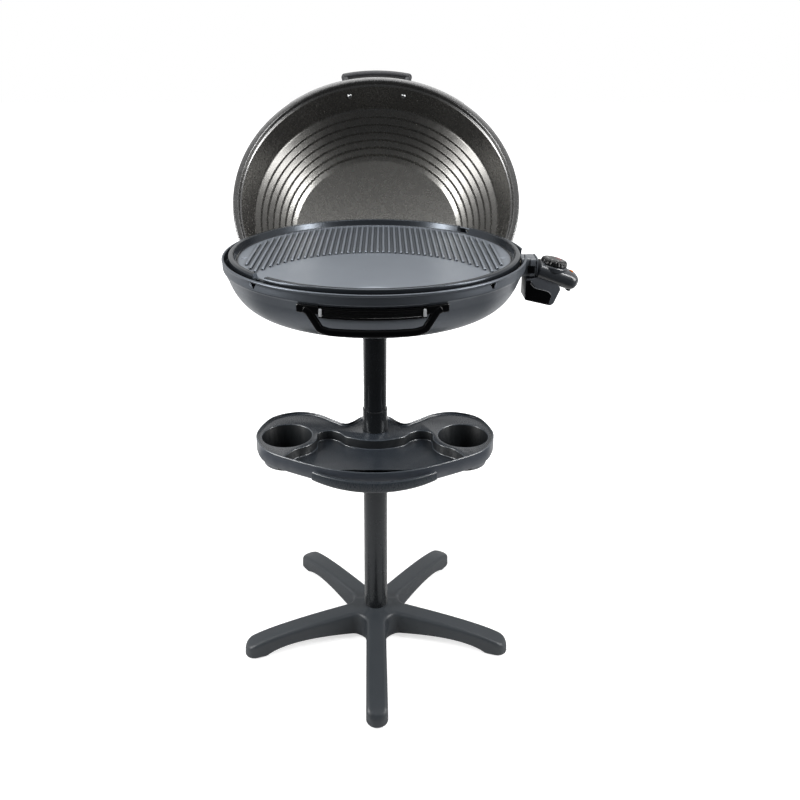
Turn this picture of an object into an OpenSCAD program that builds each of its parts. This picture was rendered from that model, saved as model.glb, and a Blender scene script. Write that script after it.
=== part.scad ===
// Electric grill on a pedestal: star base, column, shelf tray, grill head and hinged lid.
// The origin is on the floor, on the column's axis. Front is -Y, the controller is at +X.

/* [Star base] */
// Radius of the circle through the foot centres
foot_circle_r = 240; // [200:5:280]
// Width of each leg
leg_w = 37; // [28:1:46]
// Height of the hub
hub_h = 57; // [48:1:70]
// Height of a leg's top edge at its tip
tip_h = 25; // [20:1:32]
// Height of the arch under a leg
arch_h = 19; // [12:1:22]
// Radius of the web between two legs
web_r = 22; // [12:1:30]
// Number of legs
leg_count = 5; // [5:1:6]
// Turn of the star about the column
star_turn = 1; // [-18:1:18]
// Radius of a foot pad
pad_r = 14; // [9:0.5:14]
// Height that a foot pad stands proud
pad_proud = 3; // [2:0.5:5]

/* [Column] */
// Outside diameter of the lower tube
lower_tube_d = 44; // [40:0.5:50]
// Wall of both tubes
tube_wall = 1.2; // [1:0.1:1.4]
// Gap between the two tubes, on the radius
tube_gap = 0.3; // [0.2:0.05:0.6]
// Height of the lower tube's top end
lower_tube_top = 474; // [466:1:500]
// Length of the upper tube inside the lower one
tube_overlap = 80; // [50:5:120]
// Depth of the column inside the head's socket
socket_depth = 42; // [30:1:50]

/* [Shelf tray] */
// Height of the tray's deck
tray_z = 434; // [400:1:440]
// Distance from the column to the tray's front edge
tray_front = 167; // [162:1:185]
// Distance from the column to the back of a cup lobe
tray_back = 61; // [52:1:75]
// Height of the tray's rim above its deck
tray_rim_h = 4; // [2:0.5:8]
// Height of the tray's outer skirt
tray_skirt_h = 26; // [20:1:32]
// Wall of the tray
tray_wall = 3; // [2:0.25:3.5]
// Distance from the column to a cup holder, sideways
cup_x = 155; // [148:1:158]
// Distance from the column to a cup holder, forwards
cup_y = 28; // [22:1:32]
// Inside radius of a cup holder
cup_r = 44; // [36:1:45]
// Depth of a cup holder
cup_depth = 45; // [30:1:60]
// Width of the deck left beside a cup holder
cup_margin = 6; // [5:1:14]
// Depth of the tray's tub
tub_depth = 18; // [10:1:20]
// Height of the towel rail
rail_h = 22; // [16:1:25]
// Thickness of the towel rail
rail_t = 7; // [5:0.5:10]
// Gap between the tray and the towel rail
rail_gap = 13; // [10:1:20]

/* [Bowl] */
// Height of the bowl's rim
bowl_z = 760; // [750:1:780]
// Outside radius of the bowl's rim
bowl_r = 249; // [247:0.5:256]
// Height of the band under the rim
band_h = 16; // [12:1:20]
// Depth of the bowl
bowl_depth = 86; // [82:1:96]
// Wall of the bowl
bowl_wall = 2; // [1.5:0.25:3]

/* [Grill plate] */
// Gap between the plate's edge and the bowl's outer edge
plate_gap = 10.7; // [9:0.1:17]
// Height of the plate's rim above the bowl's rim
plate_proud = 5; // [3:0.5:8]
// Depth of the cooking surface below the plate's rim
plate_depth = 14; // [10:1:16]
// Thickness of the plate's floor
plate_floor = 5; // [4:0.5:6]
// Width of the plate's rim
plate_rim_w = 9; // [7:0.5:12]
// Distance between two ribs
rib_pitch = 9.8; // [8:0.1:14]
// Width of a rib
rib_w = 4; // [3:0.25:5]
// Height of a rib
rib_h = 3; // [2:0.25:4]
// Radius of the smooth zone in front of the ribs
smooth_r = 190; // [160:5:230]
// Distance from the plate's centre back to the smooth zone's edge
smooth_y = 10; // [-20:1:30]
// Radius of the dip that drains to the drip tray
drain_r = 60; // [40:1:70]

/* [Lid] */
// Distance that the lid's rim reaches past the bowl's rim
lid_over = 36; // [27:1:43]
// Width of the flat flange around the lid's opening
lid_flange = 10; // [6:0.5:12]
// Depth of the short skirt inside the flange
lid_skirt_h = 10; // [6:1:16]
// Height of the stepped crown above the rim
lid_crown_h = 76; // [70:1:90]
// Number of stepped rings
ring_count = 6; // [3:1:7]
// Distance between two rings
ring_pitch = 11; // [8:0.5:14]
// Height that the crown gains with each ring
ring_rise = 12.5; // [8:0.5:15]
// Height of the steep step of each ring
ring_step = 6.5; // [4:0.5:7]
// Thickness of the lid's sheet
lid_wall = 1.6; // [1.2:0.1:2.5]
// Angle from closed to open
lid_open = 130; // [120:1:130]
// Distance of the lid's pivots back from the column, as a share of their distance sideways
pivot_back = 0.708; // [0.7:0.002:0.72]
// Depth of the lid's pivots below the bowl's rim
pivot_drop = 53; // [48:0.5:56]
// Radius of a hinge pin
hinge_pin_r = 5; // [4:0.25:6]
// Running clearance of a hinge pin, on the radius
pin_clear = 0.06; // [0.02:0.01:0.1]

/* [Drip tray and handle] */
// Width of the drip tray
drip_w = 140; // [110:2:146]
// Length of the drip tray
drip_l = 205; // [160:5:215]
// Depth of the drip tray
drip_h = 13; // [10:0.5:13]
// Width of the bar of the front handle
grip_w = 152; // [130:2:156]
// Height of the bar of the front handle
grip_h = 12; // [9:0.5:14]
// Thickness of the bar of both handles
grip_t = 8; // [6:0.5:10]
// Width of the bar of the lid's handle
lid_grip_w = 152; // [148:2:170]
// Height of the bar of the lid's handle
lid_grip_h = 18; // [14:0.5:22]

/* [Controller] */
// Slope of the controller's housing
ctrl_tilt = 20; // [15:1:25]
// Slope of the knob's seat
knob_tilt = 12; // [8:1:16]
// Length of the controller's housing
ctrl_l = 76; // [72:1:86]
// Width of the controller's housing
ctrl_w = 48; // [47:1:54]
// Height of the controller's housing
ctrl_h = 30; // [28:1:34]
// Wall of the controller's shells
ctrl_wall = 2; // [1.5:0.25:2.5]
// Radius of the knob
knob_r = 22.5; // [18:0.5:23]
// Height of the knob
knob_h = 13; // [10:0.5:16]

/* [Fits] */
// Gap between pieces of different bodies
body_gap = 0.3; // [0.2:0.05:0.5]
// Clearance of a screw or a rod in its hole, on the radius
hole_gap = 0.1; // [0.05:0.05:0.2]

/* [Hidden] */
$fn = 96;

// Star base
hub_r = leg_w / 2 + 12;
pad_depth = pad_proud + 2;
tip_r = foot_circle_r + leg_w / 2;
leg_half = 180 / leg_count;
web_reach = (leg_w / 2 + web_r) / sin(leg_half);
web_touch = (leg_w / 2 + web_r) / tan(leg_half);
curve_steps = 8;
bolt_r = 5;
bolt_head_h = 5;
washer_h = 2;
recess_top = pad_proud + bolt_head_h;
base_floor = recess_top + 6;
plug_h = 22;

// Grill head, from the bowl's rim down
plate_r = bowl_r - plate_gap;
band_r = bowl_r - 1;
band_z = bowl_z - band_h;
bowl_floor = bowl_z - bowl_depth;
bead_r = 2;
belly_r = bowl_r - 3;
plate_top = bowl_z + plate_proud;
cook_z = plate_top - plate_depth;
plate_under = cook_z - plate_floor;
cook_r = plate_r - plate_rim_w - 7;
rib_reach = cook_r - 14;
rib_count = 2 * floor(rib_reach / rib_pitch);
skirt_z = plate_under + 3;
rod_r = 4;
pin_r = 3.5;
element_r = plate_r - 73.3;
element_z = plate_under - body_gap - rod_r;
drip_top = element_z - rod_r - 1.7;
drip_z = drip_top - drip_h;
drip_back = drip_l - belly_r;
drip_wall = 1.2;
front_w = drip_w + 12;
front_r = bowl_r - 1;
front_t = 4.5;
front_h = drip_h + 3;
front_angle = asin(front_w / 2 / front_r);
slot_gap = 1.2;
reflector_z = bowl_floor + 16;
reflector_r = bowl_r - 53;
reflector_t = 1.2;
post_circle_r = reflector_r - 46;
post_r = 5;
runner_t = 1.5;
runner_in = drip_w / 2 - 8;
runner_out = drip_w / 2 + body_gap;
rest_t = 3;
rest_angles = [20, 160, 200, 340];
screw_r = 2;

// Column
lower_tube_r = lower_tube_d / 2;
upper_tube_r = lower_tube_r - tube_wall - tube_gap;
upper_tube_top = bowl_floor - 10;
upper_tube_bottom = lower_tube_top - tube_overlap;
tube_screw_z = lower_tube_top - 16;
socket_r = upper_tube_r + 4.5;
socket_flange_r = upper_tube_r + 32;
socket_flange_t = 5;
socket_screw_at = upper_tube_r + 24;

// Shelf tray
tray_half_w = cup_x + cup_r + tray_wall + cup_margin;
tray_top = tray_z + tray_rim_h;
tray_bottom = tray_top - tray_skirt_h;
tub_floor = tray_z - tub_depth;
cup_ring = cup_r + tray_wall + 8;
boss_r = lower_tube_r + 10;
boss_bottom = tray_bottom - 4;
collar_h = 24;
collar_flange = 6;
tray_screw_at = lower_tube_r + 5.5;
rail_r = 176;
rail_y = rail_r - tray_front - rail_gap - rail_t;
rail_angle = 36;
rail_end_x = 90;

// Front handle, below the slot
grip_out = bowl_r + 1;
grip_z = bowl_z - 63;
grip_angle = asin(grip_w / 2 / grip_out);
mount_z = band_z - 16;
mount_h = 13;
mount_from = front_angle + 2;
mount_to = mount_from + 6.5;
mount_screw_angle = mount_from + 2.2;
grip_leg = grip_out * sin((mount_to - grip_angle) / 2);

// Lid, drawn closed and turned to its open place
lid_r = bowl_r + lid_over;
lid_z = bowl_z - 5;
pivot_z = bowl_z - pivot_drop;
flange_in = lid_r - lid_flange;
lip_h = 8;
ring_r = lid_r - 44;
dome_r = ring_r - ring_count * ring_pitch;
dome_h = 10;
skirt_top = [flange_in - 1.5, lid_skirt_h];
wall_low = [flange_in - 5, lid_skirt_h + 1.5];
wall_high = [ring_r + 12, lid_crown_h - 10];
ring_in = [1.3, 1];
wall_slope = atan((wall_low[0] - wall_high[0]) / (wall_high[1] - wall_low[1]));
arm_x = bowl_r - round(bowl_r / 11);
pivot_y = pivot_back * arm_x;
arm_t = 6;
arm_w = 20;
pin_eye_r = hinge_pin_r + 7;
pin_x = arm_x - 22;
foot_t = 3;
foot_r = lid_r - 14;
foot_angle = acos((arm_x + arm_t / 2) / (lid_r - 7));
foot_spread = 5;
bracket_t = 6;
root_r = bowl_r - 30;
root_from = 31;
root_to = 48;
bracket_x = arm_x - bracket_t - body_gap;
stop_r = 3;
stop_reach = 28;
stop_side = arm_w / 2 + stop_r + body_gap;
lid_grip_r = lid_r + 34;
lid_grip_z = 20;
lid_grip_t = grip_t + 4;
lid_post_x = 69.5;
lid_post_r = 8;
lid_post_angle = asin(lid_post_x / lid_grip_r);
lid_post_h = lid_grip_z + lid_grip_h / 2;
lid_post_low = wall_low[0] - (lid_post_h - wall_low[1]) * tan(wall_slope);

// Controller, plugged into the terminal block at the right
neck_w = 38;
neck_h = 34;
neck_z = bowl_z - 41;
neck_x = plate_r + 1.5;
neck_end = bowl_r + 19;
notch_gap = 2;
block_x = plate_r - 34;
block_end = neck_x - 2;
ctrl_origin = [neck_end, 0, neck_z + 13];
ctrl_side = ctrl_w / 2 - ctrl_h / 2;
knob_at = [26, 0, ctrl_h / 2 + 0.5];
seat_t = 2;
knob_top_r = knob_r - 5.5;
flute_count = 24;
spindle_r = 3;
terminal_y = 11;
sleeve_r = pin_r + 1.5;
probe_z = neck_z + 8;
probe_r = 3;
probe_l = 66;
lamp_x = ctrl_l - 17;
lamp_r = 3.5;
gland_r = 6;
shell_screw_x = ctrl_l - 12;
box_half = ctrl_w / 2 - 2;

// A smooth closed curve through a list of points
function spline_point(a, b, c, d, t) =
    0.5 * (2 * b + (c - a) * t + (2 * a - 5 * b + 4 * c - d) * t * t + (3 * b - a - 3 * c + d) * t * t * t);
function closed_curve(p, steps) = let (n = len(p))
    [for (i = [0:n - 1], k = [0:steps - 1])
        spline_point(p[(i + n - 1) % n], p[i], p[(i + 1) % n], p[(i + 2) % n], k / steps)];
// The same outline moved inwards by d, for points that run counter-clockwise
function unit(v) = v / norm(v);
function inset(p, d) = let (n = len(p))
    [for (i = [0:n - 1]) let (t = unit(p[(i + 1) % n] - p[(i + n - 1) % n])) p[i] + d * [-t[1], t[0]]];
// A left half outline, from back to front, closed by its mirror image
function mirrored(half) = concat(half, [for (i = [len(half) - 2:-1:1]) [-half[i][0], half[i][1]]]);
// A curve with ends a and c that leans to the corner b
function bend(a, b, c) = [for (k = [0:curve_steps]) let (t = k / curve_steps)
    (1 - t) * (1 - t) * a + 2 * t * (1 - t) * b + t * t * c];
function reversed(p) = [for (i = [len(p) - 1:-1:0]) p[i]];

// Side view of a leg's top and of the arch under it
leg_top = bend([hub_r, hub_h - 4], [foot_circle_r - 20, hub_h - 12], [tip_r - 5, tip_h]);
leg_arch = bend([foot_circle_r - 17, pad_proud], [foot_circle_r - 60, 1.6 * arch_h],
                [hub_r + 20, pad_proud + 4]);

// Outline of the tray, with a lobe around each cup holder
tray_half = [[0, lower_tube_r + 25], [-24, lower_tube_r + 20], [-42, 20], [-56, 13], [-78, 29],
             [-108, tray_back - 8], [-cup_x + 8, tray_back], [-tray_half_w + 19, tray_back - 22],
             [-tray_half_w, -12], [-tray_half_w + 3, -50], [-tray_half_w + 26, -tray_front + 75],
             [-124, -tray_front + 37], [-62, -tray_front + 9], [0, -tray_front]];
tray_outline = closed_curve(mirrored(tray_half), 6);
// Outline of the tub, which bends around the cup holders
tub_half = concat([[0, -48], [-46, -36], [-64, -17], [-82, -9]],
                  [for (a = [10:-26:-68]) [-cup_x + cup_ring * cos(a), -cup_y + cup_ring * sin(a)]],
                  [[-cup_x + 6, -tray_front + 66], [-cup_x + 7, -tray_front + 54],
                   [-120, -tray_front + 44], [-62, -tray_front + 14], [0, -tray_front + 5]]);
tub_outline = closed_curve(mirrored(tub_half), 6);

// Section of the bowl from the rim down, on the outside and moved in by its wall
function bowl_side(d) = concat(
    [[band_r - d, bowl_z], [band_r - d, band_z + d], [belly_r - d, band_z - 2 + d]],
    bend([belly_r - 6 - d, band_z - 16 + d], [bowl_r - 26 - d, bowl_floor + 2 + d],
         [bowl_r - 74 - d, bowl_floor + d]));
bowl_outer = bowl_side(0);
bowl_inner = bowl_side(bowl_wall);

// Section of the lid from the flange up, outside and inside
lid_outer = concat(
    [[flange_in, lid_wall], skirt_top, wall_low, wall_high],
    [for (i = [0:ring_count - 1], k = [0, 1])
        [ring_r - i * ring_pitch - 1.5 * k, lid_crown_h + i * ring_rise + k * ring_step]],
    [for (a = [0:15:90]) [dome_r * cos(a), lid_crown_h + ring_count * ring_rise + dome_h * sin(a)]]);
lid_inner = concat(
    [[flange_in - lid_wall, 0], skirt_top - [lid_wall, 0], wall_low - [lid_wall, 0], wall_high - [lid_wall, 0]],
    [for (i = [0:ring_count - 1], k = [0, 1])
        [ring_r - i * ring_pitch - 1.5 * k, lid_crown_h + i * ring_rise + k * ring_step] - ring_in],
    [for (a = [0:15:90])
        [(dome_r - ring_in[0]) * cos(a), lid_crown_h + ring_count * ring_rise + dome_h * sin(a) - lid_wall]]);

// One copy for each leg
module each_leg() {
    for (i = [0:leg_count - 1]) {
        rotate([0, 0, star_turn - 90 + i * 360 / leg_count]) children();
    }
}

// Copies at angles around the column, at one distance from it
module around(angles, r) {
    for (a = angles) {
        rotate([0, 0, a]) translate([r, 0, 0]) children();
    }
}

module both_sides() {
    children();
    mirror([1, 0, 0]) children();
}

// Turns a closed lid piece to its open place
module opened() {
    translate([0, pivot_y, pivot_z]) {
        rotate([-lid_open, 0, 0]) translate([0, -pivot_y, -pivot_z]) children();
    }
}

// Puts a piece on the lid's sloping wall, with +Z pointing out of it
module on_lid_wall() {
    around([-90 - lid_post_angle, -90 + lid_post_angle], 0) {
        translate([lid_post_low, 0, lid_z + lid_post_h]) rotate([0, 90 - wall_slope, 0]) children();
    }
}

// Slopes a piece with the controller's housing
module at_controller() {
    translate(ctrl_origin) rotate([0, ctrl_tilt, 0]) children();
}

// Puts a piece on the knob's seat
module at_knob() {
    at_controller() translate(knob_at) rotate([0, knob_tilt - ctrl_tilt, 0]) children();
}

// A bar bent round the column's axis, from radius r0 to r1
module arc_bar(r0, r1, z0, h, from, to) {
    translate([0, 0, z0]) {
        rotate([0, 0, from]) rotate_extrude(angle = to - from) translate([r0, 0]) square([r1 - r0, h]);
    }
}

// A pan head on a shank that points down, with its seat at z = 0
module pan_screw(r, l, head_r, head_h) {
    translate([0, 0, -l]) cylinder(r = r, h = l, $fn = 32);
    difference() {
        cylinder(r1 = head_r, r2 = head_r * 0.75, h = head_h, $fn = 32);
        for (a = [0, 90]) {
            rotate([0, 0, a]) translate([-head_r / 2, -head_r / 8, head_h / 2]) {
                cube([head_r, head_r / 4, head_h]);
            }
        }
    }
}

// A hole along Z through z = 0, for a screw or a rod of radius r
module hole(r, l) {
    translate([0, 0, -l]) cylinder(r = r + hole_gap, h = 2 * l);
}

// ---- Stand ----

module star_plan() {
    circle(r = hub_r);
    for (i = [0:leg_count - 1]) {
        rotate(star_turn - 90 + i * 360 / leg_count) {
            translate([0, -leg_w / 2]) square([foot_circle_r, leg_w]);
            translate([foot_circle_r, 0]) circle(r = leg_w / 2);
            rotate(leg_half) difference() {
                polygon([[0, 0], web_touch * [cos(leg_half), -sin(leg_half)], [web_reach, 0],
                         web_touch * [cos(leg_half), sin(leg_half)]]);
                translate([web_reach, 0]) circle(r = web_r + 0.05);
            }
        }
    }
}

module star_base() {
    color("#3b3f45") difference() {
        intersection() {
            linear_extrude(hub_h + 1) star_plan();
            rotate_extrude() {
                polygon(concat([[0, hub_h], [hub_r - 8, hub_h]], leg_top,
                               [[tip_r, tip_h - 6], [tip_r, pad_proud]], leg_arch,
                               [[hub_r + 8, pad_proud + 1], [0, pad_proud + 1]]));
            }
        }
        translate([0, 0, base_floor]) cylinder(r = lower_tube_r + tube_gap, h = hub_h);
        hole(bolt_r, hub_h);
        cylinder(r = bolt_r + 10, h = recess_top + washer_h);
        each_leg() translate([foot_circle_r, 0, 0]) cylinder(r = pad_r + hole_gap, h = pad_depth);
    }
}

module foot_pads() {
    color("#1b1c1e") each_leg() {
        translate([foot_circle_r, 0, 0]) {
            cylinder(r1 = pad_r - 1, r2 = pad_r, h = 1);
            translate([0, 0, 1]) cylinder(r = pad_r, h = pad_depth - 1);
        }
    }
}

module base_washer() {
    color("#9a9da0") difference() {
        translate([0, 0, recess_top]) cylinder(r = bolt_r + 8, h = washer_h);
        hole(bolt_r, base_floor);
    }
}

module base_bolt() {
    color("#8d9093") {
        translate([0, 0, pad_proud]) cylinder(r = bolt_r * 1.8, h = bolt_head_h, $fn = 6);
        translate([0, 0, pad_proud]) cylinder(r = bolt_r, h = base_floor + plug_h - pad_proud - 4);
    }
}

module tube_plug() {
    color("#6f7276") difference() {
        translate([0, 0, base_floor]) cylinder(r = lower_tube_r - tube_wall - hole_gap, h = plug_h);
        hole(bolt_r, base_floor + plug_h + 1);
    }
}

module tube(r, z0, z1) {
    difference() {
        translate([0, 0, z0]) cylinder(r = r, h = z1 - z0);
        translate([0, 0, z0 - 1]) cylinder(r = r - tube_wall, h = z1 - z0 + 2);
        translate([0, lower_tube_r, tube_screw_z]) rotate([-90, 0, 0]) hole(screw_r, lower_tube_r / 2);
    }
}

module lower_tube() {
    color("#54575c") tube(lower_tube_r, base_floor, lower_tube_top);
}

module upper_tube() {
    color("#54575c") tube(upper_tube_r, upper_tube_bottom, upper_tube_top);
}

module tube_screw() {
    color("#8d9093") translate([0, lower_tube_r, tube_screw_z]) {
        rotate([-90, 0, 0]) pan_screw(screw_r, 10, 4, 2.5);
    }
}

// ---- Shelf tray ----

module cup_places() {
    both_sides() translate([cup_x, -cup_y, tray_z - cup_depth]) children();
}

module tray_screw_places() {
    around([30, 150, 270], tray_screw_at) translate([0, 0, boss_bottom - collar_flange]) children();
}

module shelf_tray() {
    color("#34383e") difference() {
        union() {
            translate([0, 0, tray_bottom]) linear_extrude(tray_skirt_h) difference() {
                polygon(tray_outline);
                polygon(inset(tray_outline, tray_wall));
            }
            translate([0, 0, tray_z - tray_wall]) linear_extrude(tray_wall) {
                polygon(inset(tray_outline, tray_wall / 2));
            }
            translate([0, 0, tub_floor - tray_wall]) {
                linear_extrude(tub_depth + tray_wall) intersection() {
                    polygon(inset(tub_outline, -tray_wall));
                    polygon(inset(tray_outline, tray_wall / 2));
                }
            }
            cup_places() translate([0, 0, -tray_wall]) {
                cylinder(r = cup_r + tray_wall, h = cup_depth + tray_wall);
            }
            translate([0, 0, boss_bottom]) cylinder(r = boss_r, h = tray_z - boss_bottom);
        }
        cup_places() cylinder(r = cup_r, h = cup_depth + 1);
        translate([0, 0, tub_floor]) linear_extrude(tub_depth + 1) polygon(tub_outline);
        translate([0, 0, boss_bottom - 1]) cylinder(r = lower_tube_r + hole_gap, h = tray_skirt_h + 10);
        tray_screw_places() hole(screw_r, collar_flange + 12);
    }
}

module towel_rail() {
    color("#3f444a") translate([0, 0, tray_z - rail_h]) linear_extrude(rail_h) difference() {
        intersection() {
            translate([0, rail_y]) circle(r = rail_r);
            union() {
                difference() {
                    polygon([[0, rail_y], 2 * rail_r * [-sin(rail_angle), -cos(rail_angle)],
                             2 * rail_r * [sin(rail_angle), -cos(rail_angle)]]);
                    translate([0, rail_y]) circle(r = rail_r - rail_t);
                }
                both_sides() translate([rail_end_x, -tray_front]) square([18, 60]);
            }
        }
        polygon(tray_outline);
    }
}

module tray_collar() {
    color("#2b2e33") difference() {
        union() {
            translate([0, 0, boss_bottom - collar_flange]) cylinder(r = boss_r, h = collar_flange);
            translate([0, 0, boss_bottom - collar_h]) cylinder(r = lower_tube_r + 2, h = collar_h);
        }
        translate([0, 0, boss_bottom - collar_h - 1]) cylinder(r = lower_tube_r + hole_gap, h = collar_h + 2);
        tray_screw_places() hole(screw_r, collar_h);
    }
}

module tray_screws() {
    color("#8d9093") tray_screw_places() rotate([180, 0, 0]) pan_screw(screw_r, 15, 3.3, 2);
}

// ---- Grill head ----

module bowl_solid() {
    rotate_extrude($fn = 180) polygon(concat(bowl_outer, [[0, bowl_floor], [0, bowl_z]]));
}

module bowl_hollow() {
    rotate_extrude($fn = 180) polygon(concat(bowl_inner, [[0, bowl_floor + bowl_wall], [0, bowl_z]]));
}

module column_socket() {
    color("#2b2e33") difference() {
        union() {
            translate([0, 0, bowl_floor - socket_flange_t]) {
                cylinder(r = socket_flange_r, h = socket_flange_t);
            }
            translate([0, 0, upper_tube_top - socket_depth]) {
                cylinder(r = socket_r, h = bowl_floor - upper_tube_top + socket_depth);
            }
            for (a = [0:90:270]) {
                rotate([90, 0, a]) translate([0, 0, -2]) linear_extrude(4) {
                    polygon([[socket_r - 1, bowl_floor - 32], [socket_r - 1, bowl_floor - 1],
                             [socket_flange_r - 2, bowl_floor - 1], [socket_flange_r - 2, bowl_floor - 8]]);
                }
            }
        }
        translate([0, 0, upper_tube_top - socket_depth - 1]) {
            cylinder(r = upper_tube_r + body_gap, h = socket_depth + 1);
        }
        around([45:90:315], socket_screw_at) translate([0, 0, bowl_floor]) hole(screw_r, 10);
    }
}

module socket_screws() {
    color("#8d9093") around([45:90:315], socket_screw_at) {
        translate([0, 0, bowl_floor - socket_flange_t]) rotate([180, 0, 0]) pan_screw(screw_r, 9, 4, 2.5);
    }
}

module bowl() {
    color("#4c5158") {
        difference() {
            rotate_extrude($fn = 180) {
                polygon(concat(bowl_outer, [[0, bowl_floor], [0, bowl_floor + bowl_wall]],
                               reversed(bowl_inner)));
                translate([bowl_r - bead_r, bowl_z - bead_r]) circle(r = bead_r, $fn = 32);
            }
            translate([block_x, -neck_w / 2 - notch_gap, neck_z - notch_gap]) {
                cube([bowl_r - block_x + 5, neck_w + 2 * notch_gap, bowl_depth]);
            }
            translate([-front_w / 2 - slot_gap, -bowl_r - 5, drip_z - slot_gap]) {
                cube([front_w + 2 * slot_gap, 70, front_h + 2 * slot_gap]);
            }
            around([45:90:315], band_r - 10) translate([0, 0, band_z + 3]) rotate([90, 0, 90]) {
                linear_extrude(20) polygon([[-9, 9], [9, 9], [2, 0], [-2, 0]]);
            }
            around([45:90:315], socket_screw_at) translate([0, 0, bowl_floor]) hole(screw_r, 10);
            around([45:90:315], post_circle_r) translate([0, 0, bowl_floor]) hole(screw_r, 10);
            mount_screw_places() hole(screw_r, 20);
        }
        around([45:90:315], band_r - bowl_wall) translate([0, 0, band_z + 3]) rotate([90, 0, 90]) {
            linear_extrude(1.2) polygon([[-4.5, 10], [4.5, 10], [0, 4]]);
        }
    }
}

module heat_reflector() {
    color("#b5b8ba") difference() {
        rotate_extrude($fn = 120) {
            polygon([[0, reflector_z], [reflector_r - 28, reflector_z], [reflector_r, reflector_z + 12],
                     [reflector_r, reflector_z + 12 + reflector_t],
                     [reflector_r - 28, reflector_z + reflector_t], [0, reflector_z + reflector_t]]);
        }
        around([45:90:315], post_circle_r) translate([0, 0, reflector_z]) hole(screw_r, 10);
    }
}

module reflector_posts() {
    color("#9a9da0") around([45:90:315], post_circle_r) difference() {
        translate([0, 0, bowl_floor + bowl_wall]) {
            cylinder(r = post_r, h = reflector_z - bowl_floor - bowl_wall);
        }
        translate([0, 0, bowl_floor]) hole(screw_r, 20);
    }
}

module reflector_screws() {
    color("#8d9093") around([45:90:315], post_circle_r) {
        translate([0, 0, bowl_floor]) rotate([180, 0, 0]) pan_screw(screw_r, 8, 4, 2.5);
        translate([0, 0, reflector_z + reflector_t]) pan_screw(screw_r, 7, 4, 2.5);
    }
}

// Two angle rails on legs, which stand on the reflector
module drip_runners() {
    color("#9a9da0") both_sides() {
        translate([runner_in, -reflector_r, drip_z - body_gap - runner_t]) {
            cube([runner_out - runner_in + runner_t, reflector_r + drip_back, runner_t]);
        }
        translate([runner_out, -reflector_r, drip_z - body_gap - runner_t]) {
            cube([runner_t, reflector_r + drip_back, runner_t + drip_h / 2]);
        }
        for (y = [-post_circle_r, drip_back - 20]) {
            translate([runner_in, y, reflector_z + reflector_t]) {
                cube([runner_t, 14, drip_z - body_gap - reflector_z - reflector_t]);
                cube([8, 14, runner_t]);
            }
        }
    }
}

module plate_rests() {
    color("#4c5158") intersection() {
        bowl_hollow();
        for (a = rest_angles) {
            arc_bar(cook_r + 2, bowl_r, plate_under - rest_t, rest_t, a - 3, a + 3);
            arc_bar(plate_r - 1, bowl_r, plate_under - 14, 14 - rest_t, a - 3, a + 3);
        }
    }
}

// The places of the handle's screws, with +Z pointing away from the bowl
module mount_screw_places() {
    around([-90 - mount_screw_angle, -90 + mount_screw_angle], band_r) {
        translate([0, 0, mount_z + mount_h / 2]) rotate([0, 90, 0]) children();
    }
}

module front_handle() {
    color("#1d1f22") difference() {
        union() {
            arc_bar(grip_out - grip_t, grip_out, grip_z, grip_h, -90 - grip_angle, -90 + grip_angle);
            both_sides() {
                arc_bar(belly_r - 12, band_r, mount_z, mount_h, -90 + mount_from, -90 + mount_to);
                rotate([0, 0, (grip_angle + mount_to) / 2]) translate([0, grip_t - grip_out, 0]) {
                    rotate([90, 0, 0]) linear_extrude(grip_t) {
                        polygon([[-grip_leg - 1, grip_z], [6 - grip_leg, grip_z], [grip_leg, mount_z],
                                 [grip_leg, mount_z + mount_h], [grip_leg - 12, mount_z + mount_h],
                                 [grip_leg - 12, mount_z], [-grip_leg - 1, grip_z + grip_h]]);
                    }
                }
            }
        }
        bowl_solid();
        mount_screw_places() hole(screw_r, 20);
    }
}

module handle_screws() {
    color("#c9cbcc") mount_screw_places() pan_screw(screw_r, 14, 4, 2.5);
}

module hinge_brackets() {
    color("#2b2e33") both_sides() difference() {
        union() {
            translate([0, 0, pivot_z - 9]) linear_extrude(18) {
                polygon([root_r * [cos(root_to), sin(root_to)], root_r * [cos(root_from), sin(root_from)],
                         [bracket_x, pivot_y - pin_eye_r], [bracket_x + bracket_t, pivot_y - pin_eye_r],
                         [bracket_x + bracket_t, pivot_y + pin_eye_r]]);
            }
            translate([pin_x, pivot_y, pivot_z]) rotate([0, 90, 0]) {
                cylinder(r = pin_eye_r, h = bracket_x + bracket_t - pin_x);
            }
            translate([bracket_x, pivot_y, pivot_z]) rotate([-lid_open, 0, 0]) {
                translate([0, 5, -4]) cube([bracket_t, stop_side, stop_reach + 9]);
                translate([0, stop_side, stop_reach]) rotate([0, 90, 0]) {
                    cylinder(r = stop_r, h = bracket_t + body_gap + arm_t);
                }
            }
        }
        bowl_solid();
        translate([arm_x, pivot_y, pivot_z]) rotate([0, 90, 0]) hole(hinge_pin_r, 40);
    }
}

module hinge_pins() {
    color("#8d9093") both_sides() translate([0, pivot_y, pivot_z]) rotate([0, 90, 0]) {
        translate([0, 0, pin_x]) cylinder(r = hinge_pin_r, h = arm_x + arm_t + 4 - pin_x);
        translate([0, 0, arm_x + arm_t + body_gap]) cylinder(r = hinge_pin_r + 3, h = 4);
    }
}

// ---- Drip tray ----

module drip_plan(d) {
    intersection() {
        translate([-drip_w / 2 + d, -bowl_r]) square([drip_w - 2 * d, bowl_r + drip_back - d]);
        circle(r = front_r - front_t - hole_gap - d);
    }
}

module drip_tray() {
    color("#55595f") translate([0, 0, drip_z]) difference() {
        linear_extrude(drip_h) drip_plan(0);
        translate([0, 0, drip_wall]) linear_extrude(drip_h) drip_plan(drip_wall);
    }
}

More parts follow.
